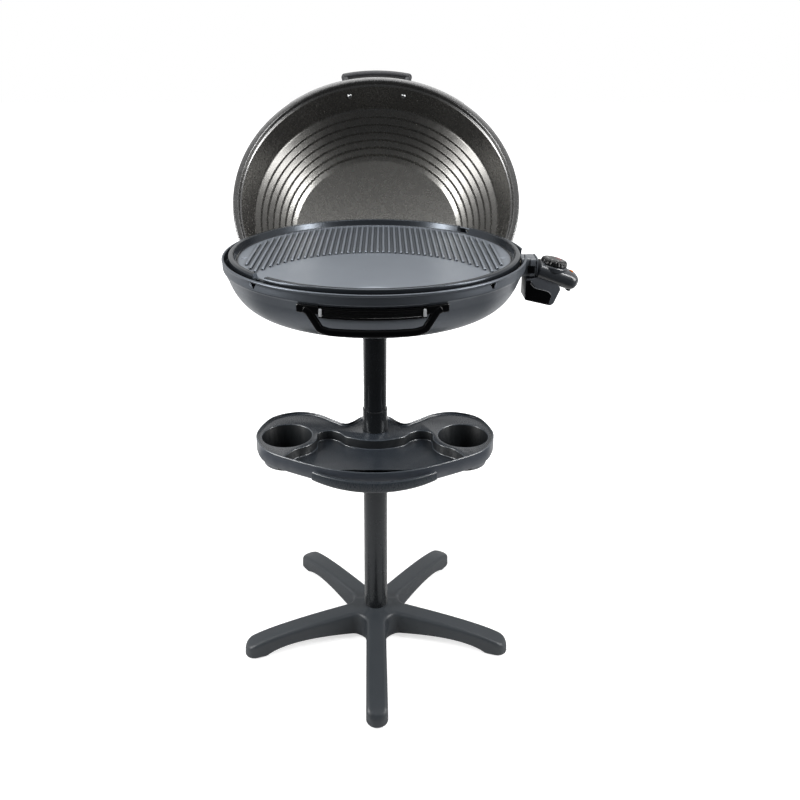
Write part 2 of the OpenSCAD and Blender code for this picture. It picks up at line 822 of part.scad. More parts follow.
module drip_tray_front() {
    color("#1d1f22") difference() {
        arc_bar(front_r - front_t, front_r, drip_z, front_h, -90 - front_angle, -90 + front_angle);
        for (k = [1, 2, 3]) {
            arc_bar(front_r - 1, front_r + 1, drip_z + k * front_h / 4 - 0.75, 1.5, -91 - front_angle,
                    -89 + front_angle);
        }
    }
}

// ---- Grill plate ----

function rib_back(x) = sqrt(rib_reach * rib_reach - x * x);
function rib_front(x) = max(-rib_back(x), smooth_y - smooth_r + sqrt(max(0, smooth_r * smooth_r - x * x)));

module ribs() {
    for (i = [0:rib_count - 1]) {
        x = (i - (rib_count - 1) / 2) * rib_pitch;
        if (rib_back(x) - rib_front(x) > 2 * rib_w) {
            translate([x, rib_front(x) + rib_w / 2, cook_z - 1]) linear_extrude(rib_h + 1) {
                translate([-rib_w / 2, 0]) square([rib_w, rib_back(x) - rib_front(x) - rib_w]);
                circle(r = rib_w / 2, $fn = 24);
                translate([0, rib_back(x) - rib_front(x) - rib_w]) circle(r = rib_w / 2, $fn = 24);
            }
        }
    }
}

module clip_places() {
    around([60, 120, 240, 300], element_r) translate([0, 0, plate_under]) children();
}

module grill_plate() {
    color("#8e9196") difference() {
        union() {
            rotate_extrude($fn = 180) {
                polygon([[0, plate_under], [cook_r + 4, plate_under], [cook_r + 7, cook_z + 5],
                         [plate_r - 4, cook_z + 5], [plate_r - 4, skirt_z], [plate_r, skirt_z],
                         [plate_r, plate_top - 2], [plate_r - 2, plate_top],
                         [plate_r - plate_rim_w, plate_top], [cook_r, cook_z], [0, cook_z]]);
            }
            ribs();
        }
        around([45, 225], plate_r - plate_rim_w - 8) translate([0, -11, plate_top - 7]) cube([30, 22, 10]);
        intersection() {
            translate([0, -cook_r - drain_r / 5, cook_z - 1.5]) cylinder(r = drain_r, h = 5);
            cylinder(r = cook_r - 2, h = plate_top);
        }
        translate([-15, -cook_r + 10, plate_under - 1]) cube([30, 8, plate_depth]);
        clip_places() translate([-10, 0, 0]) hole(screw_r - 0.5, plate_floor - 1);
    }
}

module heating_element() {
    ring_end = asin((terminal_y - pin_r) / element_r);
    color("#3a3b3d") translate([0, 0, element_z]) {
        rotate([0, 0, ring_end]) rotate_extrude(angle = 360 - 2 * ring_end) {
            translate([element_r, 0]) circle(r = rod_r, $fn = 32);
        }
        for (y = [-terminal_y, terminal_y]) {
            translate([element_r, y, 0]) rotate([0, 90, 0]) cylinder(r = pin_r, h = neck_end - 8 - element_r);
        }
    }
}

module element_clips() {
    drop = rod_r + body_gap;
    strap = rod_r + 1.4;
    color("#9a9da0") clip_places() translate([0, 6, 0]) rotate([90, 0, 0]) difference() {
        linear_extrude(12) difference() {
            union() {
                translate([-15, -1.2]) square([30, 1.2]);
                translate([-strap, -drop]) square([2 * strap, drop]);
                translate([0, -drop]) circle(r = strap);
            }
            translate([0, -drop]) circle(r = rod_r + 0.2);
            translate([-rod_r - 0.2, -drop]) square([2 * rod_r + 0.4, drop + strap]);
        }
        translate([-10, 0, 6]) rotate([90, 0, 0]) hole(screw_r - 0.5, 5);
    }
}

module clip_screws() {
    color("#8d9093") clip_places() translate([-10, 0, -1.2]) {
        rotate([180, 0, 0]) pan_screw(screw_r - 0.5, 4.5, 3, 1.8);
    }
}

module terminal_block() {
    color("#d8d4c8") difference() {
        translate([block_x, -neck_w / 2 + 2, neck_z + 3]) {
            cube([block_end - block_x, neck_w - 4, plate_under - neck_z - 3]);
        }
        for (y = [-terminal_y, terminal_y]) {
            translate([block_x, y, element_z]) rotate([0, 90, 0]) hole(pin_r, 60);
        }
        translate([block_x, 0, probe_z]) rotate([0, 90, 0]) hole(probe_r + body_gap, 60);
    }
}

// ---- Lid ----

module lid_shell() {
    color("#2f3236") opened() difference() {
        translate([0, 0, lid_z]) rotate_extrude($fn = 180) {
            polygon(concat([[lid_r, 0], [lid_r, lip_h], [lid_r - lid_wall, lip_h],
                            [lid_r - lid_wall, lid_wall]], lid_outer, reversed(lid_inner)));
        }
        on_lid_wall() hole(screw_r, 6);
        foot_screw_places() hole(screw_r, 6);
    }
}

module foot_screw_places() {
    both_sides() around([foot_angle - 3, foot_angle + 3], lid_r - 7) translate([0, 0, lid_z]) children();
}

module lid_arms() {
    color("#2b2e33") opened() both_sides() difference() {
        union() {
            translate([arm_x, pivot_y, pivot_z]) rotate([0, 90, 0]) cylinder(r = pin_eye_r, h = arm_t);
            translate([arm_x, pivot_y - arm_w / 2, pivot_z]) {
                cube([arm_t, arm_w, lid_z - foot_t / 2 - pivot_z]);
            }
            arc_bar(foot_r, lid_r, lid_z - foot_t, foot_t, foot_angle - foot_spread,
                    foot_angle + foot_spread);
        }
        translate([arm_x, pivot_y, pivot_z]) rotate([0, 90, 0]) {
            translate([0, 0, -1]) cylinder(r = hinge_pin_r + pin_clear, h = arm_t + 2);
        }
        foot_screw_places() hole(screw_r, 6);
    }
}

module lid_arm_screws() {
    color("#8d9093") opened() foot_screw_places() {
        translate([0, 0, -foot_t]) rotate([180, 0, 0]) pan_screw(screw_r, 9, 3.3, 2);
    }
}

module lid_handle() {
    color("#1d1f22") opened() difference() {
        union() {
            arc_bar(lid_grip_r - lid_grip_t, lid_grip_r, lid_z + lid_grip_z, lid_grip_h,
                    -90 - asin(lid_grip_w / 2 / lid_grip_r), -90 + asin(lid_grip_w / 2 / lid_grip_r));
            around([-90 - lid_post_angle, -90 + lid_post_angle], lid_post_low - 10) {
                translate([0, 0, lid_z + lid_post_h]) rotate([0, 90, 0]) {
                    cylinder(r = lid_post_r, h = lid_grip_r - lid_post_low + 5);
                }
            }
        }
        translate([0, 0, lid_z]) rotate_extrude($fn = 180) {
            polygon(concat(lid_outer, [[0, 0], [flange_in, 0]]));
        }
        on_lid_wall() hole(screw_r, 14);
    }
}

module lid_handle_screws() {
    color("#c9cbcc") opened() on_lid_wall() {
        translate([0, 0, -lid_wall * cos(wall_slope) - hole_gap]) {
            rotate([180, 0, 0]) pan_screw(screw_r, 13, 5, 2.5);
        }
    }
}

// ---- Controller ----

// The rounded housing, moved in by d
module housing(d) {
    hull() {
        translate([ctrl_l - ctrl_w / 2, 0, 0]) rotate_extrude($fn = 48) {
            translate([ctrl_side, 0]) intersection() {
                circle(r = ctrl_h / 2 - d, $fn = 32);
                translate([0, -ctrl_h]) square([ctrl_h, 2 * ctrl_h]);
            }
        }
        for (y = [-ctrl_side, ctrl_side]) {
            translate([d, y, 0]) rotate([0, 90, 0]) cylinder(r = ctrl_h / 2 - d, h = 4, $fn = 32);
        }
    }
}

// The box below the housing, moved in by d
module lower_box(d) {
    translate([0, box_half - d, 0]) rotate([90, 0, 0]) linear_extrude(2 * (box_half - d)) {
        polygon([[neck_end - 18 + d, neck_z - 3 - d], [neck_end - 16 + d, neck_z - 41 + d],
                 [neck_end + 34 - d, neck_z - 50 + d], [neck_end + 42 - d, neck_z - 19 - d],
                 [neck_end + 30 - d, neck_z + 4 - d], [neck_end + d, neck_z + 2 - d]]);
    }
}

module half_space(up) {
    at_controller() translate([-100, -100, up ? 0 : -200]) cube(200);
}

module shell_screw_places() {
    at_controller() for (y = [-8, 8]) {
        translate([shell_screw_x, y, 0]) children();
    }
}

module controller_neck() {
    color("#1d1f22") difference() {
        translate([0, neck_w / 2, 0]) rotate([90, 0, 0]) linear_extrude(neck_w) {
            polygon([[neck_x, neck_z], [neck_end - 2, neck_z], [neck_end + 4, neck_z + 19],
                     [neck_end + 2, neck_z + 27], [neck_end - 4, neck_z + neck_h],
                     [neck_x, neck_z + neck_h]]);
        }
        at_controller() housing(0);
        lower_box(0);
        for (x = [neck_x + 10, neck_x + 17]) {
            translate([x, 0, neck_z + neck_h / 2]) difference() {
                cube([3, neck_w + 2, neck_h + 2], center = true);
                cube([4, neck_w - 2, neck_h - 2], center = true);
            }
        }
        for (y = [-terminal_y, terminal_y]) {
            translate([neck_x, y, element_z]) rotate([0, 90, 0]) hole(sleeve_r, neck_end - neck_x - 6);
        }
        translate([neck_x, 0, probe_z]) rotate([0, 90, 0]) hole(probe_r, neck_end - neck_x - 6);
    }
}

module controller_upper_shell() {
    color("#202225") difference() {
        union() {
            difference() {
                intersection() {
                    at_controller() housing(0);
                    half_space(true);
                }
                at_controller() housing(ctrl_wall);
            }
            intersection() {
                at_controller() housing(0);
                at_knob() translate([0, 0, -seat_t - body_gap]) cylinder(r = knob_r + 2, h = seat_t);
                half_space(true);
            }
            shell_screw_places() cylinder(r = 4, h = ctrl_h / 2 - ctrl_wall / 2);
        }
        at_knob() translate([0, 0, -body_gap]) cylinder(r = knob_r + 0.8, h = 20);
        at_knob() hole(spindle_r + body_gap - hole_gap, 20);
        at_controller() translate([lamp_x, 0, ctrl_h / 2]) hole(lamp_r, 10);
        shell_screw_places() hole(screw_r - 0.5, 8);
    }
}

module controller_lower_shell() {
    color("#202225") difference() {
        union() {
            difference() {
                union() {
                    intersection() {
                        at_controller() housing(0);
                        half_space(false);
                    }
                    difference() {
                        lower_box(0);
                        half_space(true);
                    }
                }
                at_controller() housing(ctrl_wall);
                lower_box(ctrl_wall);
            }
            shell_screw_places() translate([0, 0, -ctrl_h / 2 + ctrl_wall / 2]) {
                cylinder(r = 4, h = ctrl_h / 2 - ctrl_wall / 2);
            }
        }
        shell_screw_places() hole(screw_r - 0.5, ctrl_h);
        gland_place() hole(gland_r, 10);
    }
}

module shell_screws() {
    color("#8d9093") shell_screw_places() {
        translate([0, 0, -ctrl_h / 2]) rotate([180, 0, 0]) pan_screw(screw_r - 0.5, ctrl_h / 2 + 7, 3, 1.8);
    }
}

module connector_sockets() {
    color("#b8a66a") for (y = [-terminal_y, terminal_y]) {
        translate([neck_x, y, element_z]) rotate([0, 90, 0]) difference() {
            cylinder(r = sleeve_r, h = neck_end - neck_x - 6);
            translate([0, 0, -1]) cylinder(r = pin_r + body_gap, h = neck_end - neck_x - 5);
        }
    }
}

module probe_rod() {
    color("#c9cbcc") translate([neck_end - 8 - probe_l, 0, probe_z]) rotate([0, 90, 0]) {
        sphere(r = probe_r);
        cylinder(r = probe_r, h = probe_l);
    }
}

module thermostat() {
    color("#d8d4c8") difference() {
        at_controller() translate([knob_at[0] - 13, -ctrl_side, ctrl_h / 2 - ctrl_wall - 14]) {
            cube([26, 2 * ctrl_side, 14]);
        }
        at_knob() translate([0, 0, -seat_t - body_gap]) cylinder(r = knob_r + 2, h = 20);
        at_knob() hole(spindle_r + body_gap - hole_gap, 30);
    }
}

// The hole for the cord in the box's rear face, with +Z pointing back
module gland_place() {
    translate([neck_end + 8, box_half, neck_z - 27]) rotate([-90, 0, 0]) children();
}

module cord_gland() {
    color("#1b1c1e") gland_place() difference() {
        union() {
            translate([0, 0, -ctrl_wall - 3]) cylinder(r = gland_r, h = ctrl_wall + 3);
            cylinder(r = gland_r + 3, h = 2.5);
            cylinder(r1 = gland_r, r2 = gland_r - 1, h = 14);
        }
        translate([0, 0, -10]) cylinder(r = gland_r - 2.5, h = 30);
    }
}

module lamp_lens() {
    color("#e0762a") at_controller() translate([lamp_x, 0, ctrl_h / 2 - ctrl_wall - 1]) {
        cylinder(r = lamp_r, h = ctrl_wall + 2);
    }
}

module knob_spindle() {
    color("#9a9da0") at_knob() translate([0, 0, -seat_t - 12]) {
        cylinder(r = spindle_r, h = seat_t + 12 + knob_h - 4);
    }
}

module knob() {
    color("#1b1c1e") at_knob() difference() {
        union() {
            cylinder(r = knob_r, h = 2);
            translate([0, 0, 2]) cylinder(r1 = knob_r - 1, r2 = knob_top_r, h = knob_h - 2);
        }
        for (i = [0:flute_count - 1]) {
            rotate([0, 0, i * 360 / flute_count]) translate([knob_r + 0.5, 0, 3]) {
                cylinder(r = 2.2, h = knob_h, $fn = 24);
            }
        }
        translate([0, 0, -1]) cylinder(r = spindle_r + hole_gap, h = knob_h - 3);
    }
}

star_base();
foot_pads();
base_washer();
base_bolt();
tube_plug();
lower_tube();
upper_tube();
tube_screw();
shelf_tray();
towel_rail();
tray_collar();
tray_screws();
column_socket();
socket_screws();
bowl();
heat_reflector();
reflector_posts();
reflector_screws();
drip_runners();
plate_rests();
front_handle();
handle_screws();
hinge_brackets();
hinge_pins();
drip_tray();
drip_tray_front();
grill_plate();
heating_element();
element_clips();
clip_screws();
terminal_block();
lid_shell();
lid_arms();
lid_arm_screws();
lid_handle();
lid_handle_screws();
controller_neck();
controller_upper_shell();
controller_lower_shell();
shell_screws();
connector_sockets();
probe_rod();
thermostat();
cord_gland();
lamp_lens();
knob_spindle();
knob();
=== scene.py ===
"""An electric grill on a pedestal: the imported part's own nodes, and finer surfaces over its main forms."""

import bmesh
import bpy
import numpy as np
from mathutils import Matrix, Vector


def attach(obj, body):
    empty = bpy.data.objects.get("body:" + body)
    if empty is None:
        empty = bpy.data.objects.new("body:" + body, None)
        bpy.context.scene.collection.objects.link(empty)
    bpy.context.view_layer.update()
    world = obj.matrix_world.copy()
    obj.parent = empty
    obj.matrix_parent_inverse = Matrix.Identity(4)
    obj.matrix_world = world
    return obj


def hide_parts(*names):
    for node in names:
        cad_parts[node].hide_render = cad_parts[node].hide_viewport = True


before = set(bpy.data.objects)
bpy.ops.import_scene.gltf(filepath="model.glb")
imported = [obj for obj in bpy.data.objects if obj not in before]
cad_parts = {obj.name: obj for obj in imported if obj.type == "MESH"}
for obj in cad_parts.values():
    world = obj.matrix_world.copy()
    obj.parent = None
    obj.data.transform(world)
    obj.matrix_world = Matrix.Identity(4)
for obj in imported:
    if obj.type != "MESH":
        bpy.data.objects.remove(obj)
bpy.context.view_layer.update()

# ---- Studio: camera, floor and lamps ----
# The camera stands in front, a little above the grill, and looks 20 degrees down.
# A white floor runs out to a white background. Strip boxes and soft boxes at both sides and a box overhead
# light the grill.

camera = bpy.data.objects.new("camera", bpy.data.cameras.new("camera"))
bpy.context.scene.collection.objects.link(camera)
camera.data.sensor_width = 36.0
camera.data.lens = 35.84
camera.data.shift_x = 0.02
camera.data.shift_y = -0.075
camera.location = (0.0158, -1.2869, 1.08)
camera.rotation_euler = (np.radians(69.66), 0, 0)
bpy.context.scene.camera = camera
bpy.context.scene.view_settings.view_transform = "Standard"


def linear(colour):
    """An sRGB hex colour in linear light, with alpha 1."""
    c = np.array([int(colour[i:i + 2], 16) for i in (1, 3, 5)]) / 255
    return (*np.where(c <= 0.04045, c / 12.92, ((c + 0.055) / 1.055) ** 2.4), 1.0)


def add(tree, kind, sockets=None, **settings):
    """Adds a node with its settings. A socket is linked where its value is an output, and otherwise set."""
    made = tree.nodes.new("ShaderNode" + kind)
    for key, value in settings.items():
        setattr(made, key, value)
    for key, value in (sockets or {}).items():
        if isinstance(value, bpy.types.NodeSocket):
            tree.links.new(value, made.inputs[key])
        else:
            made.inputs[key].default_value = value
    return made


def blank(name):
    """A new material with an empty node tree, and that tree."""
    made = bpy.data.materials.new(name)
    made.use_nodes = True
    made.node_tree.nodes.clear()
    return made, made.node_tree


# The room: white where it is seen or mirrored from behind, and dim in front, as on a studio's camera side
room = bpy.data.worlds.new("white studio")
bpy.context.scene.world = room
room.use_nodes = True
tree = room.node_tree
tree.nodes.clear()
light_path = add(tree, "LightPath")
direction = add(tree, "TexCoord")
axes = add(tree, "SeparateXYZ", {"Vector": direction.outputs["Generated"]})
from_front = add(tree, "MapRange", {"Value": axes.outputs["Y"], "From Min": -1.0, "From Max": 0.35,
                                    "To Min": 0.07, "To Max": 0.75}, interpolation_type="SMOOTHSTEP")
seen = add(tree, "Math",
           {0: light_path.outputs["Is Camera Ray"], 1: light_path.outputs["Is Transmission Ray"]},
           operation="MAXIMUM")
glow = add(tree, "Mix", {0: seen.outputs[0], 2: from_front.outputs[0], 3: 1.0})
sky = add(tree, "Background", {"Color": linear("#ffffff"), "Strength": glow.outputs[0]})
add(tree, "OutputWorld", {"Surface": sky.outputs[0]})

floor_mesh = bpy.data.meshes.new("floor")
FLOOR_HALF = 15  # metres
floor_corners = [(x * FLOOR_HALF, y * FLOOR_HALF, 0) for x, y in ((-1, -1), (1, -1), (1, 1), (-1, 1))]
floor_mesh.from_pydata(floor_corners, [], [(0, 1, 2, 3)])
floor = bpy.data.objects.new("floor", floor_mesh)
bpy.context.scene.collection.objects.link(floor)
# White paper. Seen directly it is lifted to full white, less so round the feet, where their shadows fall.
# To all other rays it is matt, and dull in front, so that it lights the grill no more than a dark floor does.
paper, tree = blank("white backdrop paper")
light_path = add(tree, "LightPath")
ground = add(tree, "TexCoord")
reach = add(tree, "VectorMath", {0: ground.outputs["Object"]}, operation="LENGTH")
near = add(tree, "MapRange", {"Value": reach.outputs["Value"], "From Min": 1.1, "From Max": 0.35,
                              "To Min": 0.03, "To Max": 0.6}, interpolation_type="SMOOTHSTEP")
ahead = add(tree, "SeparateXYZ", {"Vector": ground.outputs["Object"]})
behind = add(tree, "MapRange", {"Value": ahead.outputs["Y"], "From Min": 0.2, "From Max": 0.9, "To Min": 0.03,
                                "To Max": 0.75}, interpolation_type="SMOOTHSTEP")
under = add(tree, "Math", {0: near.outputs[0], 1: behind.outputs[0]}, operation="MAXIMUM")
tone = add(tree, "CombineColor", {"Red": under.outputs[0], "Green": under.outputs[0],
                                  "Blue": under.outputs[0]})
matt = add(tree, "BsdfDiffuse", {"Color": tone.outputs[0]})
lift = add(tree, "MapRange", {"Value": near.outputs[0], "From Min": 0.6, "From Max": 0.15, "To Min": 0.66,
                              "To Max": 1.0})
glow = add(tree, "Emission", {"Color": linear("#ffffff"), "Strength": lift.outputs[0]})
lifted = add(tree, "AddShader", {0: matt.outputs[0], 1: glow.outputs[0]})
shown = add(tree, "MixShader", {0: light_path.outputs["Is Camera Ray"], 1: matt.outputs[0],
                                2: lifted.outputs[0]})
add(tree, "OutputMaterial", {"Surface": shown.outputs[0]})
floor_mesh.materials.append(paper)

# Each lamp: name, place, point that it faces, width, height, watts
for name, place, target, width, height, watts in (
        ("left strip box", (-1.5, -0.5, 1.95), (0, 0.45, 0.82), 0.38, 0.5, 22),
        ("right strip box", (1.5, -0.5, 1.95), (0, 0.45, 0.82), 0.38, 0.5, 22),
        ("left soft box", (-1.9, -0.5, 1.1), (0, 0, 0.6), 0.7, 1.1, 34),
        ("right soft box", (1.9, -0.5, 1.1), (0, 0, 0.6), 0.7, 1.1, 30),
        ("ceiling soft box", (0, 0.65, 2.7), (0, 0.2, 0.7), 2.0, 1.1, 34)):
    lamp = bpy.data.lights.new(name, "AREA")
    lamp.shape, lamp.size, lamp.size_y, lamp.energy = "RECTANGLE", width, height, watts
    box = bpy.data.objects.new(name, lamp)
    bpy.context.scene.collection.objects.link(box)
    box.location = place
    aim = Vector(target) - box.location
    box.rotation_euler = aim.to_track_quat("-Z", "Y").to_euler()


# ---- Star base ----
# Five legs and a socket for the column, injection moulded in one piece in dark blue-grey polypropylene.
# The legs bow down to their tips, their upper edges are rounded, and rubber pads sit under the tips.

MM = 0.001


def finish(name, colours, patch_mm, roughness, grain_mm, depth_mm, metallic=0.0, coat=0.0, stretch=(1, 1, 1),
           ior=1.45):
    """A coated or moulded surface: its colour drifts between two tones over patch_mm, its sheen between two
    roughnesses, and a grain of grain_mm stands depth_mm proud. stretch draws the grain out along an axis."""
    made, tree = blank(name)
    place = add(tree, "TexCoord")
    drawn = add(tree, "Mapping", {"Vector": place.outputs["Object"], "Scale": stretch})
    patches = add(tree, "TexNoise", {"Vector": place.outputs["Object"], "Scale": 1 / (patch_mm * MM),
                                     "Detail": 3.0})
    grain = add(tree, "TexNoise", {"Vector": drawn.outputs[0], "Scale": 1 / (grain_mm * MM), "Detail": 2.0})
    colour = add(tree, "Mix", {0: patches.outputs["Fac"], 6: linear(colours[0]), 7: linear(colours[1])},
                 data_type="RGBA")
    sheen = add(tree, "MapRange", {"Value": grain.outputs["Fac"], "From Min": 0.3, "From Max": 0.7,
                                   "To Min": roughness[0], "To Max": roughness[1]})
    bump = add(tree, "Bump", {"Height": grain.outputs["Fac"], "Distance": depth_mm * MM, "Strength": 1.0})
    sockets = {"Base Color": colour.outputs[2], "Roughness": sheen.outputs[0], "Normal": bump.outputs[0],
               "Metallic": metallic}
    if coat:
        sockets |= {"Coat Weight": coat, "Coat Roughness": 0.18}
    if not metallic:
        sockets["IOR"] = ior
    shader = add(tree, "BsdfPrincipled", sockets)
    add(tree, "OutputMaterial", {"Surface": shader.outputs[0]})
    return made


def dress(material, *nodes):
    """Gives CAD nodes their finish."""
    for node in nodes:
        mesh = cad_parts[node].data
        mesh.materials.clear()
        mesh.materials.append(material)


def sheet_of(points, wrap):
    """Vertices and faces of one grid of points, rows by columns; wrap joins the last column to the first."""
    rows, columns = points.shape[:2]
    index = np.arange(rows * columns).reshape(rows, columns)
    beside = np.roll(index, -1, axis=1)
    faces = np.stack([index[:-1], beside[:-1], beside[1:], index[1:]], -1)
    return points.reshape(-1, 3), (faces if wrap else faces[:, :-1]).reshape(-1, 4)


def piece(name, parts, material, body, slot, *nodes, crease=32):
    """One object from several grids, given as (vertices in millimetres, faces). Seams and poles are merged,
    the faces turned outwards, and edges sharper than crease degrees kept crisp."""
    start, points, faces = 0, [], []
    for vertices, cells in parts:
        points.append(vertices * MM)
        faces.append(cells + start)
        start += len(vertices)
    mesh = bpy.data.meshes.new(name)
    mesh.from_pydata(np.concatenate(points).tolist(), [], np.concatenate(faces).tolist())
    cleaned = bmesh.new()
    cleaned.from_mesh(mesh)
    bmesh.ops.remove_doubles(cleaned, verts=cleaned.verts, dist=4e-6)
    bmesh.ops.dissolve_degenerate(cleaned, edges=cleaned.edges, dist=2e-6)
    bmesh.ops.recalc_face_normals(cleaned, faces=cleaned.faces)
    cleaned.to_mesh(mesh)
    cleaned.free()
    mesh.shade_smooth()
    mesh.set_sharp_from_angle(angle=np.radians(crease))
    mesh.materials.append(material)
    made = bpy.data.objects.new(name, mesh)
    bpy.context.scene.collection.objects.link(made)
    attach(made, body)
    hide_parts(*nodes)
    return made


def bend(a, b, c, steps=24):
    """A curve from a to c that leans to b: (1-t)^2 a + 2t(1-t) b + t^2 c."""
    t = np.linspace(0, 1, steps + 1)[:, None]
    return (1 - t) ** 2 * np.array(a) + 2 * t * (1 - t) * np.array(b) + t ** 2 * np.array(c)


def star_surface(turn=1.0, leg=18.5, foot_at=240.0, web=22.0, edge=6.5, draft=0.5, lip=1.2, lip_in=0.6):
    """The five legs as one closed skin. Each point of the plan's outline is tied to the nearest point of a
    leg's spine; a row of the grid lies a set distance in from the outline. The top follows the legs' bow by
    radius and falls by a quarter round of radius edge to the outline; the sides drop with a slight draft to
    the arch, whose edge is eased over lip."""
    corner = (leg + web) / np.sin(np.radians(36))
    middle = corner * np.array([np.cos(np.radians(36)), np.sin(np.radians(36))])
    arc = np.radians(np.linspace(216, 270, 15))[:, None]
    web_line = middle + web * np.hstack([np.cos(arc), np.sin(arc)])
    along = np.linspace(middle[0], foot_at, 40)[1:]
    side_line = np.stack([along, np.full_like(along, leg)], -1)
    around_tip = np.radians(np.linspace(90, 0, 15))[1:, None]
    tip_line = np.array([foot_at, 0]) + leg * np.hstack([np.cos(around_tip), np.sin(around_tip)])
    half = np.concatenate([web_line, side_line, tip_line])
    spine = np.zeros_like(half)
    spine[:, 0] = np.concatenate([np.linspace(0, middle[0], 15), along, np.full(14, foot_at)])
    outline = np.concatenate([half * [1, -1], half[-2:0:-1]])
    spines = np.concatenate([spine, spine[-2:0:-1]])
    turns = np.radians(turn - 90 + 72 * np.arange(5))
    rotation = np.array([[np.cos(turns), np.sin(turns)], [-np.sin(turns), np.cos(turns)]]).transpose(2, 0, 1)
    outline = np.concatenate(outline @ rotation)
    spines = np.concatenate(spines @ rotation)
    reach = np.linalg.norm(spines - outline, axis=1, keepdims=True)
    inward = (spines - outline) / reach

    top = np.concatenate([[[0, 57], [24, 57], [27, 56.2]], bend([30.5, 54], [220, 45], [253.5, 25]),
                          [[260, 18]]])
    arch = np.concatenate([[[0, 10], [14, 10], [18, 4], [44, 4]],
                           bend([223, 3], [180, 30.4], [50.5, 7])[::-1], [[262, 3]]])

    def ring(distance, line, lift=0.0):
        """The outline moved in by a distance, lift above the line's height at each point's radius."""
        spot = outline + inward * distance
        radius = np.linalg.norm(spot, axis=1)
        return np.column_stack([spot, np.interp(radius, line[:, 0], line[:, 1]) + lift])

    inset = [0, 0.3, 0.8, 1.5, 2.4, 3.5, 4.8, edge]
    rows = [ring(reach * s, top) for s in (1.0, 0.8, 0.6, 0.45)]
    rows += [ring(d, top, np.sqrt(edge ** 2 - (edge - d) ** 2) - edge) for d in inset[::-1]]
    high, low = ring(0, top, -edge), ring(-draft, arch, lip)
    rows += [high * (1 - s) + low * s for s in (0.2, 0.5, 0.8, 1.0)]
    rows += [ring(-0.4 * draft, arch, lip / 3), ring(lip_in, arch)]
    rows += [ring(lip_in + (reach - lip_in) * s, arch) for s in (0.2, 0.4, 0.7, 0.9, 1.0)]
    return sheet_of(np.array(rows), True)


# Moulded polypropylene with a spark-eroded grain: a soft dark blue-grey with a broad, dull sheen.
# The real grain is about 0.3 mm; it is drawn at 1.4 mm so that it shows.
base_plastic = finish("moulded polypropylene, dark blue-grey", ("#262a2e", "#2d3135"), 60, (0.36, 0.5), 1.4,
                      0.03)
piece("star_base_skin", [star_surface()], base_plastic, "stand", "moulded_base", "star_base")

# Rubber: almost black and dull, with a slightly dusty bloom
rubber = finish("moulded black rubber", ("#161718", "#1d1e20"), 9, (0.7, 0.85), 1.0, 0.03)
dress(rubber, "foot_pads")
# Zinc plated steel: a pale grey metal with faint cloudy patches
zinc = finish("zinc plated steel", ("#b9bcbf", "#cfd1d2"), 5, (0.24, 0.4), 0.8, 0.008, metallic=1.0)
dress(zinc, "base_washer", "base_bolt", "tube_screw", "tray_screws", "socket_screws", "reflector_screws",
      "handle_screws", "hinge_pins", "clip_screws", "lid_arm_screws", "lid_handle_screws", "shell_screws",
      "knob_spindle", "probe_rod")

# ---- Column ----
# Two drawn steel tubes, one inside the other, powder coated in satin charcoal and screwed together at the
# back. The lower one stands in the base, and a black plug inside it takes the bolt from below.

# Powder coat: dark and satin, with a fine orange peel drawn out along the tube and a pale sheen at its sides
tube_coat = finish("satin powder coat on steel tube", ("#202326", "#25282b"), 40, (0.24, 0.28), 9, 0.004,
                   metallic=0.6, coat=0.2, stretch=(1, 1, 0.4))
tube_shader = tube_coat.node_tree.nodes["Principled BSDF"]
tube_shader.inputs["Sheen Weight"].default_value = 0.6
tube_shader.inputs["Sheen Roughness"].default_value = 0.3
dress(tube_coat, "lower_tube", "upper_tube")
black_plastic = finish("moulded black nylon", ("#0e0f11", "#131416"), 25, (0.28, 0.38), 1.2, 0.004, ior=1.35)
dress(black_plastic, "tube_plug")

# ---- Shelf tray ----
# A tray with a tub in the middle and a cup holder at each side, injection moulded in dark blue-grey
# polypropylene. Three screws hold a collar under it, and a bowed rail for a towel stands in front of it.


def polypropylene(name, colours, patch_mm, roughness, ior=1.85):
    """The tray's plastic in one of its tones, with a grain of 1.3 mm that stands 0.01 mm proud."""
    return finish("moulded polypropylene" + name, colours, patch_mm, roughness, 1.3, 0.01, ior=ior)


def eased(name, node, width_mm, material, body, segments=3, angle=35, shape=None):
    """A CAD node's shape with its edges rounded, as a moulded or cast piece leaves its tool. shape moves
    each of its points, given and returned in metres."""
    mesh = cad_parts[node].data.copy()
    mesh.name = name
    cleaned = bmesh.new()
    cleaned.from_mesh(mesh)
    bmesh.ops.remove_doubles(cleaned, verts=cleaned.verts, dist=5e-5)
    bmesh.ops.dissolve_limit(cleaned, angle_limit=np.radians(0.6), verts=cleaned.verts, edges=cleaned.edges)
    cleaned.to_mesh(mesh)
    cleaned.free()
    mesh.materials.clear()
    mesh.materials.append(material)
    mesh.shade_smooth()
    for vertex in mesh.vertices if shape else ():
        vertex.co = shape(*vertex.co)
    made = bpy.data.objects.new(name, mesh)
    bpy.context.scene.collection.objects.link(made)
    bevel = made.modifiers.new("rounded edges", "BEVEL")
    bevel.width = width_mm * MM
    bevel.segments = segments
    bevel.limit_method = "ANGLE"
    bevel.angle_limit = np.radians(angle)
    bevel.miter_outer = "MITER_ARC"
    bevel.harden_normals = True
    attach(made, body)
    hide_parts(node)
    return made


# The cup holders, in metres: their places at both sides and a little in front of the column, and the
# outside, top and depth of a well
CUP_X, CUP_Y, WELL_R, WELL_TOP, WELL_DEPTH = 0.155, -0.028, 0.0486, 0.432, 0.045


